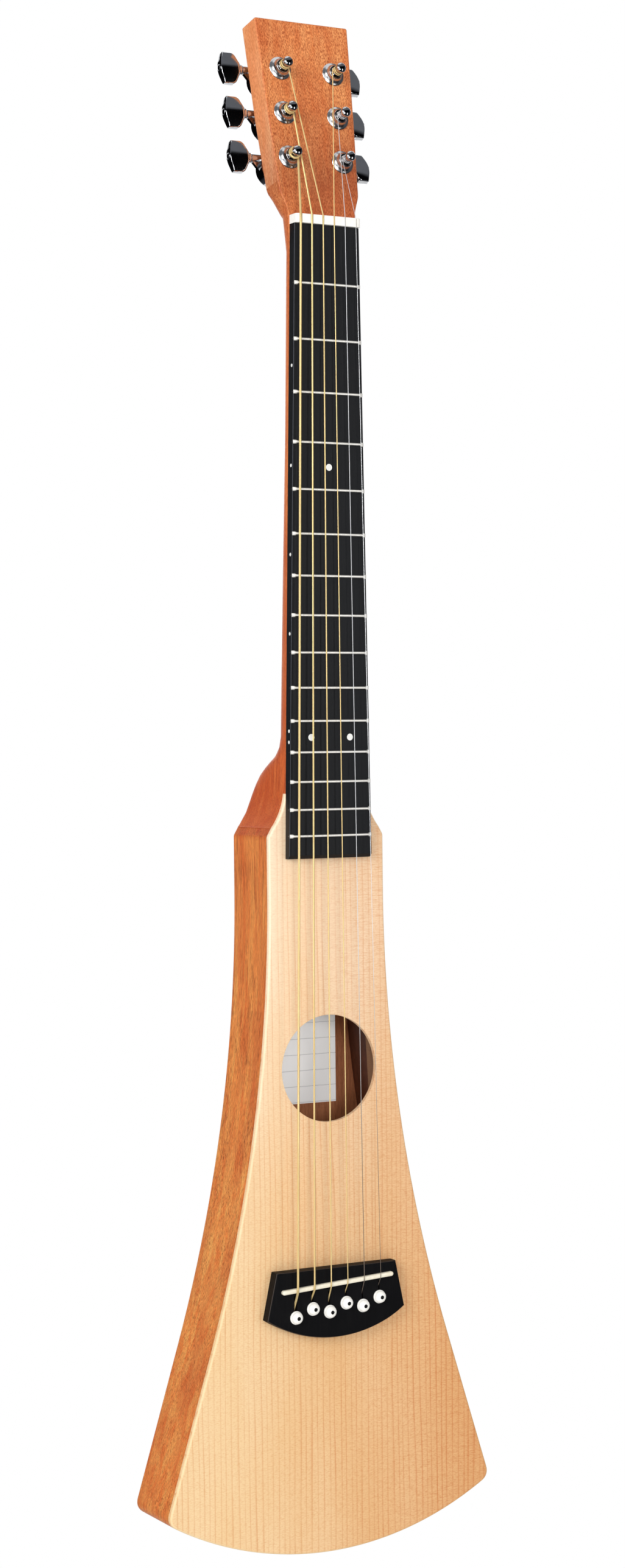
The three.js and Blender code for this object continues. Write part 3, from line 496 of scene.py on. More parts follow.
# a paler copy of the spruce for the soundboard's rounded front edge: painted highlight
spruceRimHighlight = paleWood("soundboard rim highlight", {"pale": "#FDEFD6", "warm": "#FBE5C4", "line": "#E8BC84",
                                          "tick": "#EEC896"}, 0.5, 0.4)
# dark brown braces: painted shade, as they sit in shadow inside the body
shadedBraceWood = paleWood("braces in painted shade", {"pale": "#8A6440", "warm": "#785434", "line": "#5E3E22",
                                      "tick": "#6A4828"})
boardBlack = blackWood("fingerboard black", "#18191C", "#2C2D2F", 0.42)
# a lighter grey copy for the fingerboard's rounded edges: painted highlight
boardRimHighlight = blackWood("fingerboard rim highlight", "#43464E", "#565961", 0.35)
bridgeBlack = blackWood("bridge black", "#0A0A0D", "#1E1C1B", 0.55, gloss=0.12)
# a lighter copy for the bridge's rounded edges: painted highlight
bridgeRimHighlight = blackWood("bridge rim highlight", "#3A322D", "#4A3F38", 0.5)
nutWhite = moulded("nut white", "#FBF9F3", "#F0ECE2", 0.32)
saddleCream = moulded("saddle cream", "#F3ECD8", "#E4DABE", 0.36)
pinWhite = moulded("pin white", "#FBFAF5", "#EFEBE1", 0.28)
pinBlack = moulded("pin black", "#0A0A0C", "#141416", 0.25)
dotPearl = moulded("dot white", "#F6F6F3", "#E2E1DC", 0.25)
# the last colour is the label's painted shadow
labelPaper = ruledPaper("label paper", "#FFFFFF", "#77777C", "#F2EEE4", "#B4AAA4")
softChrome = metal("soft chrome", "#D4D6D9", "#BEC1C6", 0.17, 0.26)
chromePlate = metal("chrome plate", "#CFD0D3", "#BDBFC4", 0.05, 0.12)
fretMetal = highlightedWire("fret metal", "#FDFAF3", "#3C3C3D")
# the plain strings' last colour is their painted reflection towards the bridge
plainWire = metal("plain string steel", "#E8E9EB", "#D6D7DA", 0.25, 0.35, metallic=0.5, lower="#8A7C70")
brassBall = metal("ball end brass", "#D2B06A", "#B89350", 0.25, 0.4)
woundBronze = woundWire("bronze winding", "#FDE7AE", "#E0BC74", 0.36)
print("finishes made")


# Shapes, each in a bmesh of its own
def ringLoft(bm, rings):
    loops = []
    for ring in rings:
        corners = [bm.verts.new(point) for point in ring]
        loops.append([bm.edges.new((corners[i - 1], corners[i])) for i in range(len(corners))])
    for first, second in zip(loops, loops[1:]):
        bmesh.ops.bridge_loops(bm, edges=first + second)
    for loop in (loops[0], loops[-1]):
        bmesh.ops.contextual_create(bm, geom=loop)
    bmesh.ops.recalc_face_normals(bm, faces=bm.faces[:])
    return bm


def slab(loops, slide):             # flat outlines, the first round the others, filled and pulled along slide
    bm = bmesh.new()
    edges = []
    for loop in loops:
        corners = [bm.verts.new(point) for point in loop]
        edges += [bm.edges.new((corners[i - 1], corners[i])) for i in range(len(corners))]
    bmesh.ops.triangle_fill(bm, use_beauty=True, use_dissolve=False, edges=edges,
                            normal=-Vector(slide).normalized())
    grown = bmesh.ops.extrude_face_region(bm, geom=bm.faces[:])["geom"]
    bmesh.ops.translate(bm, vec=slide, verts=[v for v in grown if isinstance(v, bmesh.types.BMVert)])
    bmesh.ops.recalc_face_normals(bm, faces=bm.faces[:])
    return bm


def outlinePlate(loops, front, back):
    return slab([[(x, front, z) for x, z in loop] for loop in loops], (0, back - front, 0))


def sharpEdges(bm, angle, wanted=lambda edge: True):
    return [edge for edge in bm.edges
            if len(edge.link_faces) == 2 and edge.calc_face_angle(0) > angle and wanted(edge)]


def sharpRim(bm, y, wanted=lambda middle: True):
    def onRim(edge):
        a, b = (v.co for v in edge.verts)
        return abs(a.y - y) < 0.01 and abs(b.y - y) < 0.01 and wanted((a + b) / 2)

    return sharpEdges(bm, 0.8, onRim)


def roundEdges(bm, edges, width, segments=3):
    bmesh.ops.bevel(bm, geom=edges, offset=width, offset_type="OFFSET", affect="EDGES",
                    segments=segments, profile=0.5, material=-1, clamp_overlap=False, loop_slide=False)


def lathe(profile, steps, across=False):
    bm = bmesh.new()
    chain = [bm.verts.new((radius, -height, 0)) for radius, height in profile]
    edges = [bm.edges.new(pair) for pair in zip(chain, chain[1:])]
    bmesh.ops.spin(bm, geom=chain + edges, cent=(0, 0, 0), axis=(0, 1, 0), angle=math.tau,
                   steps=steps, use_merge=True)
    bmesh.ops.remove_doubles(bm, verts=bm.verts[:], dist=0.0005)
    bmesh.ops.recalc_face_normals(bm, faces=bm.faces[:])
    if across:
        bmesh.ops.rotate(bm, cent=(0, 0, 0), matrix=Matrix.Rotation(math.pi / 2, 3, "Z"), verts=bm.verts[:])
    return bm


def rod(radius, low, high, steps, across=False):
    return lathe([(0, low), (radius, low), (radius, high), (0, high)], steps, across)


def block(low, high):
    bm = bmesh.new()
    bmesh.ops.create_cube(bm, size=1)
    low, high = Vector(low), Vector(high)
    bmesh.ops.scale(bm, vec=high - low, verts=bm.verts[:])
    bmesh.ops.translate(bm, vec=(high + low) / 2, verts=bm.verts[:])
    return bm


def moved(bm, matrix):
    bmesh.ops.transform(bm, matrix=matrix, verts=bm.verts[:])
    if matrix.determinant() < 0:
        bmesh.ops.reverse_faces(bm, faces=bm.faces[:])
    return bm


def shifted(bm, x, y, z):
    return moved(bm, Matrix.Translation((x, y, z)))


def sliced(bm, spots, facing):
    for spot in spots:
        bmesh.ops.bisect_plane(bm, geom=bm.verts[:] + bm.edges[:] + bm.faces[:],
                               plane_co=spot, plane_no=facing)


def secondFinish(bm, wanted):
    for face in bm.faces:
        if wanted(face):
            face.material_index = 1


def together(parts):
    whole = bmesh.new()
    for part in parts:
        mesh = bpy.data.meshes.new("part")
        part.to_mesh(mesh)
        part.free()
        whole.from_mesh(mesh)
        bpy.data.meshes.remove(mesh)
    return whole


def meshObject(name, bm, *materials):
    mesh = bpy.data.meshes.new(name)
    for material in materials:
        mesh.materials.append(material)
    bm.to_mesh(mesh)
    bm.free()
    thing = bpy.data.objects.new(name, mesh)
    scene.collection.objects.link(thing)
    return thing


def shaped(bm, steps):
    blank = meshObject("blank", bm)
    tools = [meshObject("tool", tool) for _, tool in steps]
    for (operation, _), tool in zip(steps, tools):
        cut = blank.modifiers.new(operation.lower(), "BOOLEAN")
        cut.operation = operation
        cut.solver = "EXACT"
        cut.object = tool
    result = bmesh.new()
    result.from_object(blank, bpy.context.evaluated_depsgraph_get())
    for thing in [blank] + tools:
        mesh = thing.data
        bpy.data.objects.remove(thing)
        bpy.data.meshes.remove(mesh)
    return result


def cutBy(bm, *tools):
    return shaped(bm, [("DIFFERENCE", tool) for tool in tools])


def makePiece(name, bm, place, material, nodes=(), rider="guitar", sharp=32, extra=None):
    bmesh.ops.remove_doubles(bm, verts=bm.verts[:], dist=0.0005)
    bmesh.ops.transform(bm, matrix=Matrix.Scale(millimetre, 4) @ place, verts=bm.verts[:])
    piece = meshObject(name, bm, *[finish for finish in (material, extra) if finish])
    piece.data.shade_smooth()
    piece.data.set_sharp_from_angle(angle=math.radians(sharp))
    even = piece.modifiers.new("even faces", "WEIGHTED_NORMAL")
    even.keep_sharp = True
    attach(piece, rider)
    if nodes:
        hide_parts(*nodes)


def circleLoop(x, z, radius, steps=96):
    return [(x + radius * math.cos(math.tau * i / steps), z + radius * math.sin(math.tau * i / steps))
            for i in range(steps)]


def keyhole(string, reach, steps=20):    # a pin's hole with its string's slot
    x, z, half = string["saddleX"], string["pinZ"], slotHalf(string)
    start = math.asin(half / pin["hole"])
    turns = [start + (math.tau - 2 * start) * i / steps for i in range(steps + 1)]
    arc = [(x + pin["hole"] * math.sin(turn), z + pin["hole"] * math.cos(turn)) for turn in turns]
    return arc + [(x - half, z + reach), (x + half, z + reach)]


def curvePoints(before, corner, after, steps):
    points = []
    for i in range(steps + 1):
        t = i / steps
        points.append(tuple((1 - t) ** 2 * a + 2 * t * (1 - t) * b + t * t * c
                            for a, b, c in zip(before, corner, after)))
    return points


def smoothRows(rows, steps):        # rows that follow their first column, filled in without overshooting
    columns = range(len(rows[0]))

    def rate(i, k):
        return (rows[i][k] - rows[i - 1][k]) / (rows[i][0] - rows[i - 1][0])

    def slope(i, k):
        if not 0 < i < len(rows) - 1:
            return rate(max(i, 1), k)
        before, after = rate(i, k), rate(i + 1, k)
        return 2 * before * after / (before + after) if before * after > 0 else 0.0

    filled = []
    for i in range(len(rows) - 1):
        run = rows[i + 1][0] - rows[i][0]
        for n in range(steps):
            t = n / steps
            filled.append([
                (2 * t ** 3 - 3 * t ** 2 + 1) * rows[i][k] + (t ** 3 - 2 * t ** 2 + t) * run * slope(i, k)
                + (3 * t ** 2 - 2 * t ** 3) * rows[i + 1][k] + (t ** 3 - t ** 2) * run * slope(i + 1, k)
                for k in columns])
    return filled + [list(rows[-1])]


# What the strings share with the nut, saddle, pins and tuners
saddle = {
    "slope": 0.058,
    "length": 74,
    "width": 2.7,
    "height": 9,
    "depth": 4,
    "crown": 1.0,
}
pin = {
    "setbacks": [15.7, 12.3],
    "hole": 2.85,
    "shank": 2.5,
    "tip": 2.1,
    "tipRound": 0.5,
    "length": 21,
    "headRadius": 3.9,
    "headHeight": 4.1,
    "headStep": 0.35,
    "crownFoot": 1.7,
    "crownShares": [0.985, 0.93, 0.85, 0.74, 0.6, 0.46],
    "dot": 1.15,
    "dotRim": 0.12,
    "dotSunk": 0.1,
    "dotDrop": 0.14,
    # steps of the head: in from its edge or its crown's, and up from the bridge
    "lowSteps": [(0.25, 0), (0, 0.25), (0, 0.85), (0.3, 1.15)],
    "grooveSteps": [(0.2, 1.25), (0.2, 1.4), (0, 1.7)],
    "entry": 4.4,
    "bend": 0.9,
    "bendEnd": 0.2,
    "bendFall": 1.2,
}
ball = {
    "radius": 1.9,
    "bore": 0.55,
    "height": 3.8,
    "edge": 0.3,
    "plate": 2.5,
    "stringEnd": 3,
}
tuner = {
    "offset": 17.6,
    "lowest": 33.9,
    "spacing": 27.2,
    "turns": [1.5, 2, 2, 2, 2.5, 2.5],
    "turnSpacing": 0.75,
    "waist": 2,
    "bushingTop": 4.2,
    "shaftRise": 6,
    "shaftBehind": 3.9,
}
strings = []
for i, diameter in enumerate(scale["diameters"]):
    share = i / 5 - 1 / 2
    bass = i < 3
    saddleX = share * scale["saddleSpread"]
    saddleZ = -saddleDrop + saddle["slope"] * saddleX
    strings.append({
        "number": 6 - i,
        "radius": diameter / 2,
        "nutX": share * scale["nutSpread"],
        "saddleX": saddleX,
        "saddleZ": saddleZ,
        "pinZ": saddleZ - pin["setbacks"][i % 2],
        "side": -1 if bass else 1,
        "postHeight": tuner["lowest"] + (i if bass else 5 - i) * tuner["spacing"],
        "turns": tuner["turns"][i],
        "wound": i < scale["woundStrings"],
    })


def postPlace(string):
    return Matrix.Translation((string["side"] * tuner["offset"], 0, string["postHeight"]))


def slotHalf(string):
    return string["radius"] + gap["fit"]


def setback(string):
    return pin["shank"] + gap["rest"] + string["radius"]


def slotReach(string):              # where a string sinks into the bridge on its way to its pin
    crest = saddle["height"] + gap["rest"] + string["radius"]
    run = string["saddleZ"] - string["pinZ"] - setback(string) - pin["bend"]
    sunk = (bridge["height"] + string["radius"] + gap["fit"] - pin["entry"]) / (crest - pin["entry"])
    return setback(string) + pin["bend"] + run * sunk + slotHalf(string)


def stringHeight(string):
    return boardSag(string["nutX"]) - scale["lowestSag"] - scale["nutAction"] - string["radius"]


# Soundboard, side frame, back and label
def shoulderHalf(drop):
    if drop < shoulderStart:
        return boardHalf(drop)
    radius = body["shoulderRadius"]
    return boardHalf(shoulderStart) + radius - math.sqrt(radius ** 2 - (drop - shoulderStart) ** 2)


def bodyLoop(upper, wall=0.0, tailWall=0.0, steps=28, tailSteps=24, cornerSteps=8):
    half = list(upper)
    reach = body["flareRadius"] + wall
    for i in range(steps + 1):
        turn = body["flareTurn"] * i / steps
        half.append((body["waist"] + body["flareRadius"] - reach * math.cos(turn),
                     flareStart + reach * math.sin(turn)))
    flank = Vector(half[-1])
    along = Vector((math.sin(body["flareTurn"]), math.cos(body["flareTurn"])))
    centre = Vector((0, bodyEnd - body["tailRadius"]))
    reach = body["tailRadius"] - tailWall
    offset = flank - centre
    halfway = -offset.dot(along)
    run = halfway + math.sqrt(halfway ** 2 + reach ** 2 - offset.length_squared)
    corner = flank + along * run
    arc = math.asin(corner.x / reach) - body["tailCut"] / reach
    turns = [arc * (1 - i / tailSteps) for i in range(tailSteps + 1)]
    tail = [(reach * math.sin(turn), centre.y + reach * math.cos(turn)) for turn in turns]
    half += curvePoints(corner - along * body["tailCut"], corner, tail[0], cornerSteps) + tail[1:]
    return [(-x, -drop) for x, drop in half] + [(x, -drop) for x, drop in reversed(half[:-1])]


def shoulderCorner():
    start = Vector((shoulderHalf(shoulderEnd), shoulderEnd))
    corner = Vector((body["waist"], shoulderEnd + body["cornerDrop"]))
    before = corner + (start - corner).normalized() * body["cornerRound"]
    after = corner + Vector((0, body["cornerRound"]))
    return [tuple(start)] + curvePoints(before, corner, after, 5)


label = {"left": -30, "right": 28, "low": -515, "high": -448, "thickness": 0.12}
pinsPatch = {"half": 34, "low": -640, "high": -600}    # holds the pins' holes in the soundboard


def buildBody(steps=12):
    drops = [bodyStart + (shoulderEnd - bodyStart) * i / steps for i in range(steps)]
    loops = [bodyLoop([(shoulderHalf(drop), drop) for drop in drops] + shoulderCorner()),
             circleLoop(0, -holeDrop, body["holeRadius"])]
    loops += [keyhole(string, setback(string) + slotHalf(string)) for string in strings]
    top = outlinePlate(loops, 0, body["top"])

    def onHole(middle):
        return abs(Vector((middle.x, middle.z + holeDrop)).length - body["holeRadius"]) < 0.5

    def onOutline(middle):
        onPatch = abs(middle.x) < pinsPatch["half"] and pinsPatch["low"] < middle.z < pinsPatch["high"]
        onSeam = middle.z >= -bodyStart - body["seamClear"]
        return not (onHole(middle) or onPatch or onSeam)

    holeRims = sharpRim(top, 0, onHole) + sharpRim(top, body["top"], onHole)
    roundEdges(top, sharpRim(top, 0, onOutline), body["frontRound"], 4)
    roundEdges(top, [e for e in holeRims if e.is_valid], body["holeRound"], 2)
    # the rounded front edge takes the paler copy, painted highlight
    secondFinish(top, lambda face: -0.96 < face.normal.y < -0.2 and not onHole(face.calc_center_median()))
    makePiece("spruce_soundboard", top, bodyAt, spruce, ["soundboard"], extra=spruceRimHighlight)

    frameLoop = bodyLoop(shoulderCorner())
    cavity = bodyLoop([(body["waist"] - body["wall"], shoulderEnd + body["neckBlock"])],
                      body["wall"], body["tailBlock"])
    backFront = body["depth"] - body["back"]
    sides = outlinePlate([frameLoop, cavity], body["top"] + gap["glue"], backFront - gap["glue"])
    middle = Vector((0, 0, -(flareStart + bodyEnd) / 2))
    # the inner faces take the dark copy, painted shade
    secondFinish(sides, lambda face: abs(face.normal.y) < 0.5
                 and face.normal.dot(face.calc_center_median() - middle) < 0)
    makePiece("hollowed_side_frame", sides, bodyAt, bodyWood, ["side_frame"], extra=shadedInnerWood)

    back = outlinePlate([frameLoop], backFront, body["depth"])
    roundEdges(back, sharpRim(back, body["depth"]), body["backRound"], 4)
    secondFinish(back, lambda face: face.normal.y < -0.9)
    makePiece("back_board", back, bodyAt, bodyWood, ["back_plate"], extra=rawWood)

    paper = block((label["left"], backFront - label["thickness"], label["low"]),
                  (label["right"], backFront + 0.01, label["high"]))
    makePiece("paper_label", paper, bodyAt, labelPaper)


buildBody()
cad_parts["top_bracing"].data.materials.clear()
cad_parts["top_bracing"].data.materials.append(shadedBraceWood)
print("body built")


# Bridge, saddle and pins
def saddleLoop(grow, steps=10):
    along = Vector((1, saddle["slope"])).normalized()
    across = Vector((-along.y, along.x))
    radius = saddle["width"] / 2 + grow
    straight = (saddle["length"] - saddle["width"]) / 2
    loop = []
    for end in (1, -1):
        for i in range(steps + 1):
            turn = math.pi * i / steps - math.pi / 2
            spot = (Vector((0, -saddleDrop)) + along * end * (straight + radius * math.cos(turn))
                    + across * end * radius * math.sin(turn))
            loop.append((spot.x, spot.y))
    return loop


def buildBridge():
    height, high, flat = bridge["height"], bridge["lowHalf"], bridge["flatHalf"]
    radius = (high ** 2 + bridge["sag"] ** 2) / (2 * bridge["sag"])
    turns = [math.asin(high / radius) * (i / 20 - 1) for i in range(41)]
    tail = [(radius * math.sin(turn), radius * (1 - math.cos(turn)) - bridgeTail) for turn in turns]
    outline = [(bridge["topHalf"], -bridgeTop), (-bridge["topHalf"], -bridgeTop)] + tail
    holes = [keyhole(string, slotReach(string)) for string in strings]
    blank = outlinePlate([outline] + holes, -height, -gap["hair"])
    left = [-x for x in reversed(bridge["cuts"])]
    sliced(blank, [(x, 0, 0) for x in left + [-flat, flat] + bridge["cuts"]], (1, 0, 0))
    for corner in blank.verts:
        past = abs(corner.co.x) - flat
        if corner.co.y < -height / 2 and past > 0:
            corner.co.y += bridge["thinEnds"] * (past / (high - flat)) ** 2

    def onOutline(edge):
        spot = edge.verts[0].co
        below = -bridgeTop - spot.z
        atHoles = abs(spot.x) < bridge["holesHalf"] and bridge["holesFrom"] < below < bridge["holesTo"]
        return all(v.co.y < -height / 2 for v in edge.verts) and not atHoles

    roundEdges(blank, sharpEdges(blank, 0.9, onOutline), bridge["edge"], 3)
    # the rounded edges take the lighter copy, painted highlight
    secondFinish(blank, lambda face: -0.94 < face.normal.y < -0.3)
    slotFloor = saddle["depth"] - height
    pocket = outlinePlate([saddleLoop(gap["glue"])], -height - gap["overrun"], slotFloor)
    makePiece("bridge_block", cutBy(blank, pocket), bodyAt, bridgeBlack, ["bridge"],
              extra=bridgeRimHighlight)

    bar = outlinePlate([saddleLoop(0)], -saddle["height"], slotFloor - gap["hair"])
    roundEdges(bar, sharpRim(bar, -saddle["height"]), saddle["crown"], 4)
    makePiece("saddle_bar", bar, bodyAt, saddleCream, ["saddle"])


def buildPins():
    seat = bridge["height"] + gap["hair"]
    foot, crownFoot = seat - pin["length"], pin["crownFoot"]
    crown = pin["headRadius"] - pin["headStep"]
    rise = pin["headHeight"] - crownFoot
    profile = [(0, foot), (pin["tip"] - pin["tipRound"], foot), (pin["tip"], foot + pin["tipRound"]),
               (pin["shank"], seat)]
    profile += [(pin["headRadius"] - inward, seat + up) for inward, up in pin["lowSteps"]]
    profile += [(crown - inward, seat + up) for inward, up in pin["grooveSteps"]]
    for share in pin["crownShares"] + [pin["dot"] / crown]:
        profile.append((crown * share, seat + crownFoot + rise * math.sqrt(1 - share ** 2)))
    profile += [(pin["dot"] - pin["dotRim"], profile[-1][1] - pin["dotSunk"]),
                (0, seat + pin["headHeight"] - pin["dotDrop"])]

    def onDot(face):
        middle = face.calc_center_median()
        return middle.y < -seat - crownFoot and Vector((middle.x, middle.z)).length < pin["dot"]

    for string in strings:
        peg = lathe(profile, 32)
        secondFinish(peg, onDot)
        place = bodyAt @ Matrix.Translation((string["saddleX"], 0, string["pinZ"]))
        makePiece(f"bridge_pin_peg_{string['number']}", peg, place, pinWhite,
                  [f"bridge_pin_{string['number']}"], extra=pinBlack)


buildBridge()
buildPins()
print("bridge built")


# Neck, heel and headstock in one piece
neck = {
    "depthAtNut": 14.3,
    "depthAtHeel": 20.9,
    "heelRise": 21.9,
    "heelPast": 8.9,
    "edge": 0.3,
    "headEdge": 1.0,
    "shaftPower": 2.4,
    "blockPower": 40,
    "footPower": 30,
    "endPower": 60,
    "steps": 40,
    # share of the heel's height up from its foot, share of its depth, squareness
    "heelRows": [[0, 1, 20], [0.227, 0.973, 10], [0.406, 0.922, 6], [0.568, 0.697, 5], [0.698, 0.48, 4],
                 [0.828, 0.225, 3.2], [1, 0, 2.8]],
    # share of the way from heel to nut, share of the heel's extra depth
    "shaftRows": [[0.02, 0.97], [0.145, 0.84], [0.243, 0.7], [0.335, 0.56], [0.425, 0.37], [0.52, 0.18],
                  [0.6, 0], [0.95, 0]],
    # share of the headstock's shoulder, share of its width, squareness, depth
    "shoulderRows": [[0, 0.16, 3.4, 15.4], [0.242, 0.32, 4.2, 16.5], [0.436, 0.52, 4.9, 16.5],
                     [0.65, 0.78, 5.6, 16.5], [0.83, 0.95, 7.5, 16.5], [1, 1, 14, 16.5],
                     [1.17, 1.02, 24, 16.5]],
    # distance from the headstock's top and how far the rounded end draws in there
    "topRows": [(60, 0), (1.0, 0), (0.5, 0.13), (0.13, 0.5), (0, 1.0)],
    "boreRadius": 4.65,
    "boreBack": 40,
    "boreFront": 10,
    "seamGap": 0.015,
    "sideFrom": 24,
}


def neckRing(place, half, depth, power, edge, lean=0.0, inset=0.0):
    steps = neck["steps"]
    quarter = []
    for k in range(4):
        turn = math.pi / 2 * k / 3
        quarter.append((half - edge + edge * math.sin(turn), edge - edge * math.cos(turn)))
    for i in range(1, steps // 2):
        turn = math.pi * i / steps
        quarter.append((half * math.cos(turn) ** (2 / power), depth * math.sin(turn) ** (2 / power)))
    outline = quarter + [(0, depth)] + [(-x, y) for x, y in reversed(quarter)]
    turned = Matrix.Rotation(-lean, 3, "X")
    ring = []
    for x, y in outline:
        if inset:
            x *= (half - inset) / half
            y = inset + y * (depth - 2 * inset) / depth
        ring.append(place + turned @ Vector((x, y, 0)))
    return ring


def buildNeck():
    heelStart = shoulderStart - neck["heelRise"]
    heelEnd = shoulderStart + neck["heelPast"]
    heelDepth = body["depth"] - body["topProud"] - gap["fit"]
    nutHalf = board["nutWidth"] / 2
    edge = neck["edge"]
    rings = []

    def addRing(drop, half, depth, power):
        rings.append(neckRing(Vector((0, board["thickness"], -drop)), half, depth, power, edge))

    for drop in (shoulderEnd + gap["overrun"], shoulderEnd - 1):
        addRing(drop, shoulderHalf(drop), heelDepth, neck["blockPower"])
    drop = (shoulderEnd + heelEnd) / 2
    addRing(drop, shoulderHalf(drop), heelDepth, neck["footPower"])
    for up, deep, power in smoothRows(neck["heelRows"], 4):
        drop = heelEnd - up * (heelEnd - heelStart)
        depth = neck["depthAtHeel"] + deep * (heelDepth - neck["depthAtHeel"])
        addRing(drop, shoulderHalf(drop), depth, power)
    for up, deep in smoothRows(neck["shaftRows"], 2):
        drop = (1 - up) * heelStart
        depth = neck["depthAtNut"] + deep * (neck["depthAtHeel"] - neck["depthAtNut"])
        addRing(drop, boardHalf(drop), depth, neck["shaftPower"])
    for up, wide, power, depth in smoothRows(neck["shoulderRows"], 3):
        half = nutHalf + wide * (head["lowHalf"] - nutHalf)
        softened = edge + (neck["headEdge"] - edge) * min(up * 2, 1)
        place = headOnNeck @ Vector((0, 0, up * head["shoulder"]))
        rings.append(neckRing(place, half, depth, power, softened, layout["headTilt"]))
    for short, inset in neck["topRows"]:
        up = head["length"] - short
        half = head["lowHalf"] + (head["topHalf"] - head["lowHalf"]) * up / head["length"]
        rings.append(neckRing(headOnNeck @ Vector((0, 0, up)), half, head["thickness"], neck["endPower"],
                              neck["headEdge"], layout["headTilt"], inset))
    blank = ringLoft(bmesh.new(), rings)

    # cut off under the soundboard and at the seam with the side frame, and bored for the posts
    wide = body["waist"] + gap["overrun"]
    deep = body["depth"]
    ledge = block((-wide, -deep, -shoulderEnd - deep),
                  (wide, body["top"] + gap["hair"], gap["hair"] - bodyStart))
    seam = block((-wide, -deep, -shoulderEnd - deep), (wide, 2 * deep, neck["seamGap"] - shoulderEnd))
    bores = []
    for string in strings:
        bore = rod(neck["boreRadius"], -neck["boreBack"], neck["boreFront"], 24)
        bores.append(moved(bore, headOnNeck @ postPlace(string)))
    carved = cutBy(blank, moved(ledge, bodyOnNeck), moved(seam, bodyOnNeck), together(bores))
    # the headstock's side faces take the lighter copy, painted light
    secondFinish(carved, lambda face: abs(face.normal.x) > 0.95
                 and face.calc_center_median().z > neck["sideFrom"])
    makePiece("carved_neck", carved, neckAt, neckWood, ["neck"], extra=litHeadSide)


buildNeck()
print("neck built")


# Fingerboard, its dots, frets and nut
def buildBoard():
    bottom = board["thickness"] - gap["hair"]
    edge = board["edge"]
    rings = []
    stations = [0, board["nutBevelRun"]] + [boardLength * i / 8 for i in range(1, 8)]
    stations += [boardLength - board["endBevel"], boardLength]
    bevels = {0: board["nutBevel"], boardLength: board["endBevel"]}
    for drop in stations:
        lower = bevels.get(drop, 0.0)
        half = boardHalf(drop)
        ring = []
        for k in range(3):
            turn = math.pi / 2 * k / 3
            ring.append((half - edge + edge * math.cos(turn),
                         boardSag(half - edge) + lower + edge - edge * math.sin(turn)))
        for i in range(board["steps"] + 1):
            x = (half - edge) * (1 - 2 * i / board["steps"])
            ring.append((x, boardSag(x) + lower))
        ring += [(-x, y) for x, y in reversed(ring[:3])] + [(-half, bottom), (half, bottom)]
        rings.append([Vector((x, y, -drop)) for x, y in ring])
    blank = ringLoft(bmesh.new(), rings)
    wide = board["cutHalf"]
    slots = []
    for fret in range(1, scale["frets"] + 1):
        z, half = -fretDrop(fret), board["slotHalf"]
        slots.append(block((-wide, -gap["overrun"], z - half), (wide, board["slotDepth"], z + half)))
    over = block((-wide, -gap["hair"], -boardLength - wide), (wide, wide, gap["glue"] - bodyStart))
    slotted = cutBy(blank, together(slots), moved(over, bodyOnNeck))
    # the rounded edges take the lighter copy, painted highlight
    secondFinish(slotted, lambda face: 0.3 < abs(face.normal.x) < 0.94 and face.normal.y < -0.3)
    makePiece("black_fingerboard", slotted, neckAt, boardBlack, ["fingerboard"],
              extra=boardRimHighlight)


dots = {
    "radius": 2.0,
    "rimShare": 0.9,
    "depth": 1.2,
    "proud": 0.03,
    "places": [(0, 139.8), (-12.8, 296.2), (12.8, 296.2)],       # across and down the board
    "sideRadius": 1.0,
    "sideBelow": 2.6,
    "sides": [(3, 0), (5, 0), (7, 0), (9, 0), (12, -3.2), (12, 3.2)],    # fret and shift
}


def buildDots():
    radius, proud = dots["radius"], dots["proud"]
    for number, (x, drop) in enumerate(dots["places"]):
        disc = lathe([(0, -dots["depth"]), (radius, -dots["depth"]), (radius, proud - 0.01),
                      (radius * dots["rimShare"], proud), (0, proud)], 32)
        lean = Matrix.Rotation(math.asin(x / board["radius"]), 4, "Z")
        place = neckAt @ Matrix.Translation((x, boardSag(x), -drop)) @ lean
        makePiece(f"face_dot_{number + 1}", disc, place, dotPearl)
    for number, (fret, shift) in enumerate(dots["sides"]):
        drop = (fretDrop(fret - 1) + fretDrop(fret)) / 2 + shift
        disc = lathe([(0, -1), (dots["sideRadius"], -1), (dots["sideRadius"], proud - 0.01), (0, proud)],
                     20, True)
        place = (neckAt @ Matrix.Translation((-boardHalf(drop), dots["sideBelow"], -drop))
                 @ Matrix.Rotation(math.pi, 4, "Z"))
        makePiece(f"side_dot_{number + 1}", disc, place, dotPearl)


wire = {
    "height": 1.0,
    "width": 2.2,
    "fullness": 0.8,
    "tang": 0.6,
    "tangDepth": 2.0,
    "endRun": 2.8,
    "ends": [(0, 0.1), (0.1, 0.2), (1.3, 0.92), (2.8, 0.99)],    # distance from the end, share of height
    "steps": 10,
    # painted highlight round the crown and at the fret ends, with dark flanks as painted reflection
    "crownHighlights": [0, 0, 0, 0.7, 1, 0.7, 0, 0, 0],                   # brightness round the crown
    "endHighlights": [0.2, 0.6, 1.0],
}


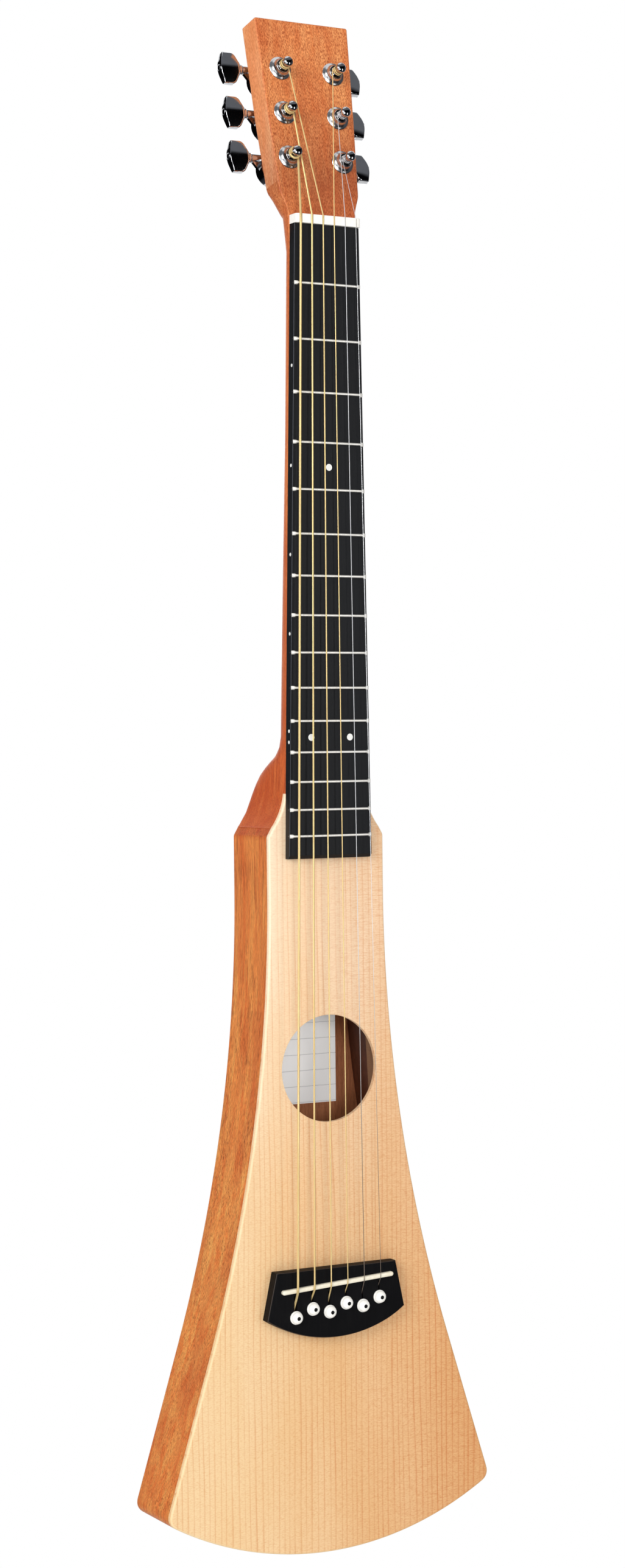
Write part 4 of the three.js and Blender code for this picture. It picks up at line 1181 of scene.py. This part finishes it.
def buildFrets():
    around = len(wire["crownHighlights"])
    for fret in range(1, scale["frets"] + 1):
        half = boardHalf(fretDrop(fret))
        inner = half - wire["endRun"]
        foot = boardSag(half) + wire["tangDepth"]
        stations = [(inward - half, share) for inward, share in wire["ends"]]
        stations += [(inner * (2 * i / wire["steps"] - 1), 1.0) for i in range(1, wire["steps"])]
        stations += [(-x, share) for x, share in reversed(stations[:len(wire["ends"])])]
        rings = []
        for x, share in stations:
            seat = boardSag(x) - 0.01
            tangX = x + math.copysign(gap["seat"], x) if abs(x) == half else x
            ring = []
            for i in range(around):
                turn = math.pi * i / (around - 1)
                rise = (wire["height"] - 0.01) * share * math.sin(turn) ** wire["fullness"]
                ring.append((x, seat - rise, -wire["width"] / 2 * math.cos(turn)))
            for z, y in ((1, seat), (1, foot), (-1, foot), (-1, seat)):
                ring.append((tangX, y, z * wire["tang"] / 2))
            rings.append([Vector((x, y, z - fretDrop(fret))) for x, y, z in ring])
        bead = ringLoft(bmesh.new(), rings)
        # each vertex gets its share of the painted highlight
        crest = bead.verts.layers.float.new("crest")
        for index, vert in enumerate(bead.verts):
            station, corner = divmod(index, len(rings[0]))
            fromEnd = min(station, len(stations) - 1 - station)
            if fromEnd < len(wire["endHighlights"]):
                vert[crest] = wire["endHighlights"][fromEnd]
            elif corner < around:
                vert[crest] = wire["crownHighlights"][corner]
        makePiece(f"fret_wire_{fret}", bead, neckAt, fretMetal, [f"fret_{fret}"], sharp=40)


nut = {
    "corner": [(0, 1.6), (0.5, 0.6), (1.6, 0)],    # in from its side and down from its top
    "edge": 0.15,
    "slotSteps": 6,
}


def buildNut():
    half = board["nutWidth"] / 2 + gap["rest"]
    bottom = board["thickness"] - gap["hair"]
    top = board["thickness"] - head["nutTop"]
    front = head["nutThickness"]
    corner = [(half - inward, top + down) for inward, down in nut["corner"]]
    loop = [(half, bottom)] + corner
    for string in reversed(strings):
        x, wide = string["nutX"], slotHalf(string)
        floor = stringHeight(string) + string["radius"] + gap["rest"]
        loop.append((x + wide, top))
        for i in range(nut["slotSteps"] + 1):
            turn = math.pi * i / nut["slotSteps"]
            loop.append((x + wide * math.cos(turn), floor - wide * (1 - math.sin(turn))))
        loop.append((x - wide, top))
    loop += [(-x, y) for x, y in reversed(corner)] + [(-half, bottom)]
    blank = slab([[(x, y, gap["seat"]) for x, y in loop]], (0, 0, front - gap["seat"]))
    rim = sharpEdges(blank, 1.2, lambda edge: all(abs(v.co.z - front) < 0.01 for v in edge.verts))
    roundEdges(blank, rim, nut["edge"], 2)
    makePiece("slotted_nut", blank, neckAt, nutWhite, ["nut"])


buildBoard()
buildDots()
buildFrets()
buildNut()
print("fingerboard built")


# Strings, from their turns on the posts to their ball ends under the bridge plate
def stringPath(string, stepsPerTurn=40):
    radius, side = string["radius"], string["side"]
    nutPoint = headOnNeck.inverted() @ Vector((string["nutX"], stringHeight(string), head["nutThickness"]))
    postX, postZ = side * tuner["offset"], string["postHeight"]
    toNut = Vector((nutPoint.x - postX, nutPoint.z - postZ))
    winding = tuner["waist"] + gap["fit"] + radius
    leave = math.atan2(toNut.y, toNut.x) - side * math.acos(winding / toNut.length)
    pitch = 2 * radius + tuner["turnSpacing"]
    start = tuner["bushingTop"] + gap["fit"] + radius
    turns = []
    for i in range(round(string["turns"] * stepsPerTurn) + 1):
        turn = math.tau * i / stepsPerTurn
        at = leave - side * turn
        turns.append(Vector((postX + winding * math.cos(at), -start - pitch * turn / math.tau,
                             postZ + winding * math.sin(at))))
    tail = (turns[-1] - turns[-2]).normalized()
    turns.append(turns[-1] + tail * 2 * radius)
    crest = saddle["height"] + gap["rest"] + radius
    drop = string["pinZ"] + setback(string)
    path = [headAt @ point for point in reversed(turns)]
    path += [neckAt @ Vector((string["nutX"], stringHeight(string), z)) for z in (head["nutThickness"], 0)]
    for height, z in ((crest, string["saddleZ"] + saddle["width"] / 4),
                      (crest, string["saddleZ"] - saddle["width"] / 4),
                      (pin["entry"], drop + pin["bend"]),
                      (pin["entry"] - pin["bendFall"], drop + pin["bendEnd"]),
                      (bridge["height"] / 3, drop),
                      (-body["top"] - ball["stringEnd"], drop)):
        path.append(bodyAt @ Vector((string["saddleX"], -height, z)))
    return path


def buildStrings(sides=12):
    radius, edge = ball["radius"], ball["edge"]
    top = body["top"] + 2 * gap["glue"] + ball["plate"] + gap["fit"]
    low = top + ball["height"]
    ballProfile = [(ball["bore"], -low), (radius - edge, -low), (radius, edge - low), (radius, -top - edge),
                   (radius - edge, -top), (ball["bore"], -top), (ball["bore"], -low)]
    for string in strings:
        line = bpy.data.curves.new("string line", "CURVE")
        line.dimensions = "3D"
        line.bevel_depth = string["radius"]
        line.bevel_resolution = sides // 4
        line.use_fill_caps = True
        path = stringPath(string)
        spline = line.splines.new("POLY")
        spline.points.add(len(path) - 1)
        for point, place in zip(spline.points, path):
            point.co = (*place, 1)
        holder = bpy.data.objects.new("string line", line)
        scene.collection.objects.link(holder)
        solid = bpy.data.meshes.new_from_object(
            holder.evaluated_get(bpy.context.evaluated_depsgraph_get()))
        bm = bmesh.new()
        bm.from_mesh(solid)
        bpy.data.objects.remove(holder)
        bpy.data.meshes.remove(solid)
        starts = [0.0]
        for a, b in zip(path, path[1:]):
            starts.append(starts[-1] + (b - a).length)
        run = bm.verts.layers.float.new("run")
        around = len(bm.verts) / len(path)
        for vert in bm.verts:
            vert[run] = starts[min(int(vert.index / around), len(path) - 1)]
        beside = max(pin["tip"] + gap["fit"] + radius, setback(string))
        end = moved(lathe(ballProfile, 24), bodyAt @ Matrix.Translation((string["saddleX"], 0,
                                                                         string["pinZ"] + beside)))
        secondFinish(end, lambda face: True)
        kind, finish, slot = (("wound", woundBronze, "bronze_wound") if string["wound"]
                              else ("plain", plainWire, "plain_steel"))
        makePiece(f"{kind}_string_{string['number']}", together([bm, end]), Matrix(), finish,
                  [f"string_{string['number']}"], extra=brassBall)


buildStrings()
print("strings built")


# Tuning machines; a bass-side machine mirrors a treble-side one
gear = {
    "teeth": 14,
    "pitch": 1.952,
    "toothFoot": 0.9,
    "toothTip": 0.4,
    "toothHeight": 1.05,
    "width": 2.2,
    "wormTurns": 3,
    "wormSteps": 16,
    "wormCore": 1.0,
    "meshGap": 0.25,
}
post = {
    "radius": 3.0,
    "foot": 5.9,
    "footRound": 0.3,
    "top": 12,
    "cap": 1.3,
    "waistLow": 4.5,
    "waistHigh": 9.3,
    # radius and height from either end of the waist
    "lowSteps": [(3, -0.5), (2.75, -0.3), (2.15, -0.05), (2, 0.15)],
    "highSteps": [(2, -0.15), (2.15, 0.05), (2.75, 0.3), (3, 0.55)],
    "hole": 0.75,
    "holeReach": 6,
    "holeTurn": 0.7,
}
bushing = {
    # radius and height over the headstock, round from the bore's foot
    "profile": [(3.46, -8), (4.2, -8), (4.2, 0.03), (6.85, 0.03), (7, 0.2), (7, 0.45), (6.75, 0.7),
                (6.1, 0.95), (5.5, 1.3), (5.05, 1.75), (4.7, 2.3), (4.45, 3), (4.3, 3.6), (4.2, 3.95),
                (3.95, 4.2), (3.61, 4.2), (3.46, 4.05), (3.46, -8)],
}
knob = {
    "coreEnd": 0.125,
    "coreTaper": 0.5,
    "shaft": 1.2,
    "collar": 3.2,
    "collarStart": 15,
    "collarEnd": 0.6,
    "collarRound": 0.3,
    "start": 16.2,
    "length": 12.8,
    "height": 19.2,
    "thickness": 8,
    # the outer end's bow, as shares of half the height and of the corners' dip
    "bow": [(-1, 1), (-0.62, 0.52), (-0.36, 0.2), (0, 0), (0.36, 0.2), (0.62, 0.52), (1, 1)],
    # outline between the bevels and on the faces: dip of the outer end's middle and of its corners,
    # where the sides end, half the foot, half the height, and where the foot starts
    "outlines": [(0.0, 0.17, 0.73, 0.25, 1.0, 0.0), (0.02, 0.18, 0.69, 0.3, 0.96, 0.1)],
    "turnOut": 1.6,
    "turnIn": 1.0,
    "turnDown": 2.1,
    "bevelFrom": 0.72,
    "heightCuts": range(-8, 9, 2),
    "lengthCuts": [0.15, 0.3, 0.5, 0.7, 0.85],
    "edge": 0.3,
    "crown": 0.45,
    "taper": 0.32,
    "rightTurn": math.radians(-16),
    # radius and height of the screw's head over the button's end
    "screwSteps": [(0, -1.5), (1.9, -1.5), (1.9, -0.1), (1.7, 0.15), (1.2, 0.35), (0.6, 0.44), (0, 0.47)],
}
housing = {
    "radius": 9.7,
    "depth": 9.1,
    "rimSteps": [(1.6, 0), (0.8, 0.2), (0.2, 0.8), (0, 1.6)],    # in from the rim, up from the back
    "sleeve": 2.55,
    "sleeveEnd": 14.4,
    "sleeveRound": 0.3,
    "bore": 1.55,
    "gearClear": 0.4,
    "wormClear": 0.35,
    "endClear": 0.5,
    "gusset": 1,
    "lug": [(2.6, -10.8), (2.25, -12), (1.3, -13), (0, -13.2)],
    "lugDepth": 2.4,
    "lugEdge": 0.35,
    "screwDrop": -10.6,
    "screwHole": 1.3,
    "screwReach": 6,
}
lugScrew = {
    # radius and height from the lug's face, into the wood first
    "profile": [(0, 9), (0.9, 8.2), (1.05, 0.1), (2.1, 0), (2.05, -0.35), (1.5, -0.75), (0.7, -0.95),
                (0, -1)],
    "crossHalf": 1.2,
    "crossWidth": 0.25,
    "crossFloor": 0.45,
}
shaftCentre = -head["thickness"] - tuner["shaftBehind"]
wormOuter = gear["wormCore"] + gear["toothHeight"]
wormHalf = (gear["wormTurns"] * gear["pitch"] + gear["toothFoot"]) / 2
wheelOuter = tuner["shaftRise"] - gear["wormCore"] - gear["meshGap"]
onShaft = Matrix.Translation((0, -shaftCentre, tuner["shaftRise"]))


def toothSection(foot, tip):        # radius and place across a tooth, from flank to flank
    wide, narrow = gear["toothFoot"] / 2, gear["toothTip"] / 2
    return [(foot, -wide), (tip, -narrow), (tip, narrow), (foot, wide)]


def gearWheel():
    foot = tuner["shaftRise"] - wormOuter - gear["meshGap"]
    mean = (gear["wormCore"] + wormOuter) / 2
    slant = gear["pitch"] / (math.tau * mean) / (tuner["shaftRise"] - mean)
    rings = []
    for y in (-gear["width"] / 2, gear["width"] / 2):
        ring = []
        for i in range(gear["teeth"]):
            for radius, across in toothSection(foot, wheelOuter):
                turn = math.tau * (i + 1 / 2) / gear["teeth"] + slant * y + across / radius
                ring.append(Vector((radius * math.sin(turn), y - shaftCentre, radius * math.cos(turn))))
        rings.append(ring)
    return ringLoft(bmesh.new(), rings)


def wormScrew():
    rings = []
    for i in range(gear["wormTurns"] * gear["wormSteps"] + 1):
        turn = math.tau * (i / gear["wormSteps"] - gear["wormTurns"] / 2)
        x = gear["pitch"] * turn / math.tau
        rings.append([Vector((x + across, radius * math.sin(turn), -radius * math.cos(turn)))
                      for radius, across in toothSection(gear["wormCore"] / 2, wormOuter)])
    return ringLoft(bmesh.new(), rings)


def postShape():
    radius, low, high = post["radius"], post["waistLow"], post["waistHigh"]
    foot = -head["thickness"] - post["foot"]
    capStart = post["top"] - post["cap"]
    profile = [(0, foot), (radius - post["footRound"], foot), (radius, foot + post["footRound"])]
    profile += [(wide, low + up) for wide, up in post["lowSteps"]]
    profile += [(wide, high + up) for wide, up in post["highSteps"]] + [(radius, capStart)]
    for i in range(1, 7):
        turn = math.pi / 2 * i / 6
        profile.append((radius * math.cos(turn) if i < 6 else 0, capStart + post["cap"] * math.sin(turn)))
    hole = moved(rod(post["hole"], -post["holeReach"], post["holeReach"], 16, True),
                 Matrix.Translation((0, -(low + high) / 2, 0)) @ Matrix.Rotation(post["holeTurn"], 4, "Y"))
    return shaped(lathe(profile, 40), [("DIFFERENCE", hole), ("UNION", gearWheel())])


def bushingShape():
    return lathe(bushing["profile"], 48)


def knobShape(side):
    start, length, collarStart = knob["start"], knob["length"], knob["collarStart"]
    core, shaft, collar, step = gear["wormCore"], knob["shaft"], knob["collar"], knob["collarRound"]
    half, thick = knob["height"] / 2, knob["thickness"] / 2
    end, inButton = wormHalf + knob["coreEnd"], start + knob["collarEnd"]
    spindle = lathe([(0, -end), (core, -end), (core, wormHalf), (shaft, wormHalf + knob["coreTaper"]),
                     (shaft, collarStart), (collar - step, collarStart), (collar, collarStart + step),
                     (collar, inButton), (0, inButton)], 32, True)
    outlines = []
    for middle, corner, sideEnd, foot, up, inner in knob["outlines"]:
        rise = [[share * up, middle + (corner - middle) * dip] for share, dip in knob["bow"]]
        outer = [(start + length * (1 - inward), z * half) for z, inward in smoothRows(rise, 3)]
        x, z = start + length * (1 - sideEnd), up * half
        turn = curvePoints((x + knob["turnOut"], z), (x, z), (x - knob["turnIn"], z - knob["turnDown"]), 4)
        base = [(start + length * inner, foot * half), (start + length * inner, -foot * half)]
        outlines.append(outer + turn + base + [(x, -z) for x, z in reversed(turn)])
    bevel = thick * knob["bevelFrom"]
    rings = [[Vector((x, y, z)) for x, z in outlines[level]]
             for y, level in ((-thick, 1), (-bevel, 0), (bevel, 0), (thick, 1))]
    button = ringLoft(bmesh.new(), rings)
    sliced(button, [(0, 0, z) for z in knob["heightCuts"]], (0, 0, 1))
    sliced(button, [(start + length * share, 0, 0) for share in knob["lengthCuts"]], (1, 0, 0))
    roundEdges(button, sharpEdges(button, 0.35), knob["edge"], 2)
    for vert in button.verts:
        vert.co.y *= 1 - knob["crown"] * (vert.co.z / half) ** 2
        vert.co.y *= 1 - knob["taper"] * (vert.co.x - start) / length
    if side > 0:
        bmesh.ops.rotate(button, cent=(0, 0, 0), matrix=Matrix.Rotation(knob["rightTurn"], 3, "X"),
                         verts=button.verts[:])
    screw = lathe([(radius, start + length + up) for radius, up in knob["screwSteps"]], 28, True)
    return moved(together([spindle, wormScrew(), button, screw]), onShaft)


def housingShape():
    radius, sleeve, sleeveEnd = housing["radius"], housing["sleeve"], housing["sleeveEnd"]
    front = -head["thickness"] - gap["seat"]
    back = -head["thickness"] - housing["depth"]
    chamber = wormHalf + housing["endClear"]
    step = housing["sleeveRound"]
    case = lathe([(0, back)] + [(radius - inward, back + up) for inward, up in housing["rimSteps"]]
                 + [(radius, front), (0, front)], 56)
    tube = lathe([(0, chamber), (sleeve, chamber), (sleeve, sleeveEnd - step), (sleeve - step, sleeveEnd),
                  (0, sleeveEnd)], 32, True)
    foot = tuner["offset"] / 2
    gusset = outlinePlate([[(foot, -sleeve), (sleeveEnd, tuner["shaftRise"] - sleeve / 2),
                            (foot, tuner["shaftRise"])]],
                          -shaftCentre - housing["gusset"], -shaftCentre + housing["gusset"])
    right = [(housing["lug"][0][0], -radius / 2)] + housing["lug"]
    lug = outlinePlate([[(-x, z) for x, z in right] + right[-2::-1]], -front, -front + housing["lugDepth"])
    roundEdges(lug, sharpRim(lug, -front + housing["lugDepth"]), housing["lugEdge"], 2)
    lugHole = rod(housing["screwHole"], front - housing["screwReach"], front + gap["overrun"], 20)
    floor = -head["thickness"] - post["foot"] - gap["fit"]
    cavity = rod(wheelOuter + housing["gearClear"], floor, front + gap["overrun"], 40)
    wormSpace = rod(wormOuter + housing["wormClear"], -chamber, chamber, 28, True)
    bore = rod(housing["bore"], 0, sleeveEnd + gap["overrun"], 24, True)
    return shaped(case, [("UNION", moved(tube, onShaft)), ("UNION", gusset), ("UNION", lug),
                         ("DIFFERENCE", shifted(lugHole, 0, 0, housing["screwDrop"])), ("DIFFERENCE", cavity),
                         ("DIFFERENCE", moved(wormSpace, onShaft)), ("DIFFERENCE", moved(bore, onShaft))])


def screwShape():
    seat = head["thickness"] + gap["seat"] + housing["lugDepth"]
    drop, half, width = housing["screwDrop"], lugScrew["crossHalf"], lugScrew["crossWidth"]
    shank = lathe([(radius, up - seat) for radius, up in lugScrew["profile"]], 28)
    cross = [block((-x, seat + lugScrew["crossFloor"], drop - z), (x, seat + gap["overrun"], drop + z))
             for x, z in ((width, half), (half, width))]
    return cutBy(shifted(shank, 0, 0, drop), *cross)


def buildTuners():
    for string in strings:
        side, number = string["side"], string["number"]
        place = headAt @ postPlace(string)
        for name, shape, node, rider, finish in (
                ("tuner_post_turned", postShape(), "tuner_post", f"post_{number}", chromePlate),
                ("tuner_bushing_ring", bushingShape(), "tuner_bushing", "guitar", softChrome),
                ("tuner_knob_button", knobShape(side), "tuner_knob", f"knob_{number}", chromePlate),
                ("tuner_housing_case", housingShape(), "tuner_housing", "guitar", chromePlate),
                ("tuner_lug_screw", screwShape(), None, "guitar", chromePlate)):
            makePiece(f"{name}_{number}", moved(shape, Matrix.Diagonal((side, 1, 1, 1))), place, finish,
                      [f"{node}_{number}"] if node else [], rider)


buildTuners()
print("tuners built")


# Floor, backdrop, dark surround for the metal, and lights
studio = {
    "floorHeight": -1.5,
    "floorRadius": 14,
    "nearFloor": 0.9,
    "farFloor": 1.6,
    "ambient": 0.5,
    "lamps": {                        # place, size and power
        "key": ((-2.75, -1.5, 0.8), (1.6, 1.6), 60),
        "front": ((-0.6, -2.9, -0.1), (0.8, 0.8), 21),
        "glint": ((1.45, -2.62, -0.3), (0.35, 1.6), 8),
        "back": ((0.9, 2.2, 0.6), (1.6, 1.6), 14),
    },
    "aim": (0, 0, -0.3),
}
shell = {
    "radius": 3.4,
    "up": 2.8,
    "down": 1.1,
    "openings": {                     # bearings from the front, to the right, and shares of the height
        "backdrop": ((112, 188), (-1, 1)),
        "low left": ((-78, -24), (-0.8, -0.3)),
        "left strip": ((-72, -52), (-0.9, 0.55)),
        "overhead": ((-180, 180), (0.94, 1)),
        "window": ((-60, -12), (0.16, 0.62)),
    },
    "greyFrom": 1.7,
    "greyTo": 1.85,
    "sideFrom": 2.2,
    "lowFrom": -1.12,
    "lowTo": -1.33,
    "shades": ["#050506", "#6E7074", "#5A5C60", "#404246"],
}


def buildWorld():
    scene.world = bpy.data.worlds.new("studio")
    scene.world.use_nodes = True
    scene.world.node_tree.nodes.clear()
    sky = Nodes(scene.world.node_tree)
    soft, white = (sky.add("ShaderNodeBackground", {}, {"Color": (1, 1, 1, 1), "Strength": strength})
                   for strength in (studio["ambient"], 1.0))
    sky.add("ShaderNodeOutputWorld", {}, {"Surface": sky.shaderMix(sky.seenDirectly(), soft, white)})


def buildFloor():                   # pale near the guitar, and white further out to whoever looks at it
    pale = Finish("pale floor", Roughness=0.9)
    patches = pale.noise((0.004, 0.004, 0.004), detail=3.0)
    pale.feed("Base Color", pale.mix(pale.span(patches, 0.3, 0.7), colour("#F4F4F2"), colour("#F8F8F7")))
    here = pale.add("ShaderNodeTexCoord", output="Object")
    level = pale.add("ShaderNodeVectorMath", {"operation": "MULTIPLY"}, {0: here, 1: (1, 1, 0)})
    reach = pale.add("ShaderNodeVectorMath", {"operation": "LENGTH"}, {0: level}, "Value")
    share = pale.span(reach, studio["nearFloor"], studio["farFloor"]) * pale.seenDirectly()
    glow = pale.add("ShaderNodeEmission", {}, {"Color": (1, 1, 1, 1), "Strength": 1.0})
    pale.surface(pale.shaderMix(share, Strand(pale, pale.shader.outputs[0]), glow))
    bm = bmesh.new()
    bmesh.ops.create_circle(bm, cap_ends=True, radius=studio["floorRadius"], segments=64)
    bmesh.ops.translate(bm, vec=(0, 0, studio["floorHeight"]), verts=bm.verts[:])
    floor = meshObject("pale_floor", bm, pale.material)


def buildSurround():                # dark and seen only by metal, open behind and towards the left
    dark = Finish("dark surround")
    height = dark.along("Z") * millimetre
    right = dark.along("X") * millimetre
    shade = colour(shell["shades"][0])
    for place, start, end, further in ((height, shell["greyFrom"], shell["greyTo"], shell["shades"][1]),
                                       (right, shell["sideFrom"], shell["radius"], shell["shades"][2]),
                                       (height, shell["lowFrom"], shell["lowTo"], shell["shades"][3])):
        shade = dark.mix(dark.span(place, start, end), shade, colour(further))
    dark.surface(dark.add("ShaderNodeEmission", {}, {"Color": shade, "Strength": 1.0}))
    bm = bmesh.new()
    bmesh.ops.create_uvsphere(bm, u_segments=72, v_segments=36, radius=1)

    def opened(face):
        middle = face.calc_center_median()
        bearing = math.degrees(math.atan2(middle.x, -middle.y))
        return any(low < middle.z < high and (start < bearing < end or start < bearing + 360 < end)
                   for (start, end), (low, high) in shell["openings"].values())

    bmesh.ops.delete(bm, geom=[face for face in bm.faces if opened(face)], context="FACES")
    for vert in bm.verts:
        vert.co.z *= shell["up"] if vert.co.z > 0 else shell["down"]
    bmesh.ops.scale(bm, vec=(shell["radius"], shell["radius"], 1), verts=bm.verts[:])
    bmesh.ops.translate(bm, vec=studio["aim"], verts=bm.verts[:])
    cover = meshObject("dark_surround", bm, dark.material)
    cover.visible_camera = False
    cover.visible_diffuse = False
    cover.visible_transmission = False
    cover.visible_shadow = False


def buildLamps():
    for name, (spot, size, power) in studio["lamps"].items():
        light = bpy.data.lights.new(f"{name} lamp", "AREA")
        light.shape = "RECTANGLE"
        light.size, light.size_y = size
        light.energy = power
        holder = bpy.data.objects.new(f"{name}_lamp", light)
        facing = (Vector(spot) - Vector(studio["aim"])).to_track_quat("Z", "Y")
        holder.matrix_world = Matrix.Translation(spot) @ facing.to_matrix().to_4x4()
        scene.collection.objects.link(holder)


buildWorld()
buildFloor()
buildSurround()
buildLamps()
print("studio built")

bpy.context.view_layer.update()
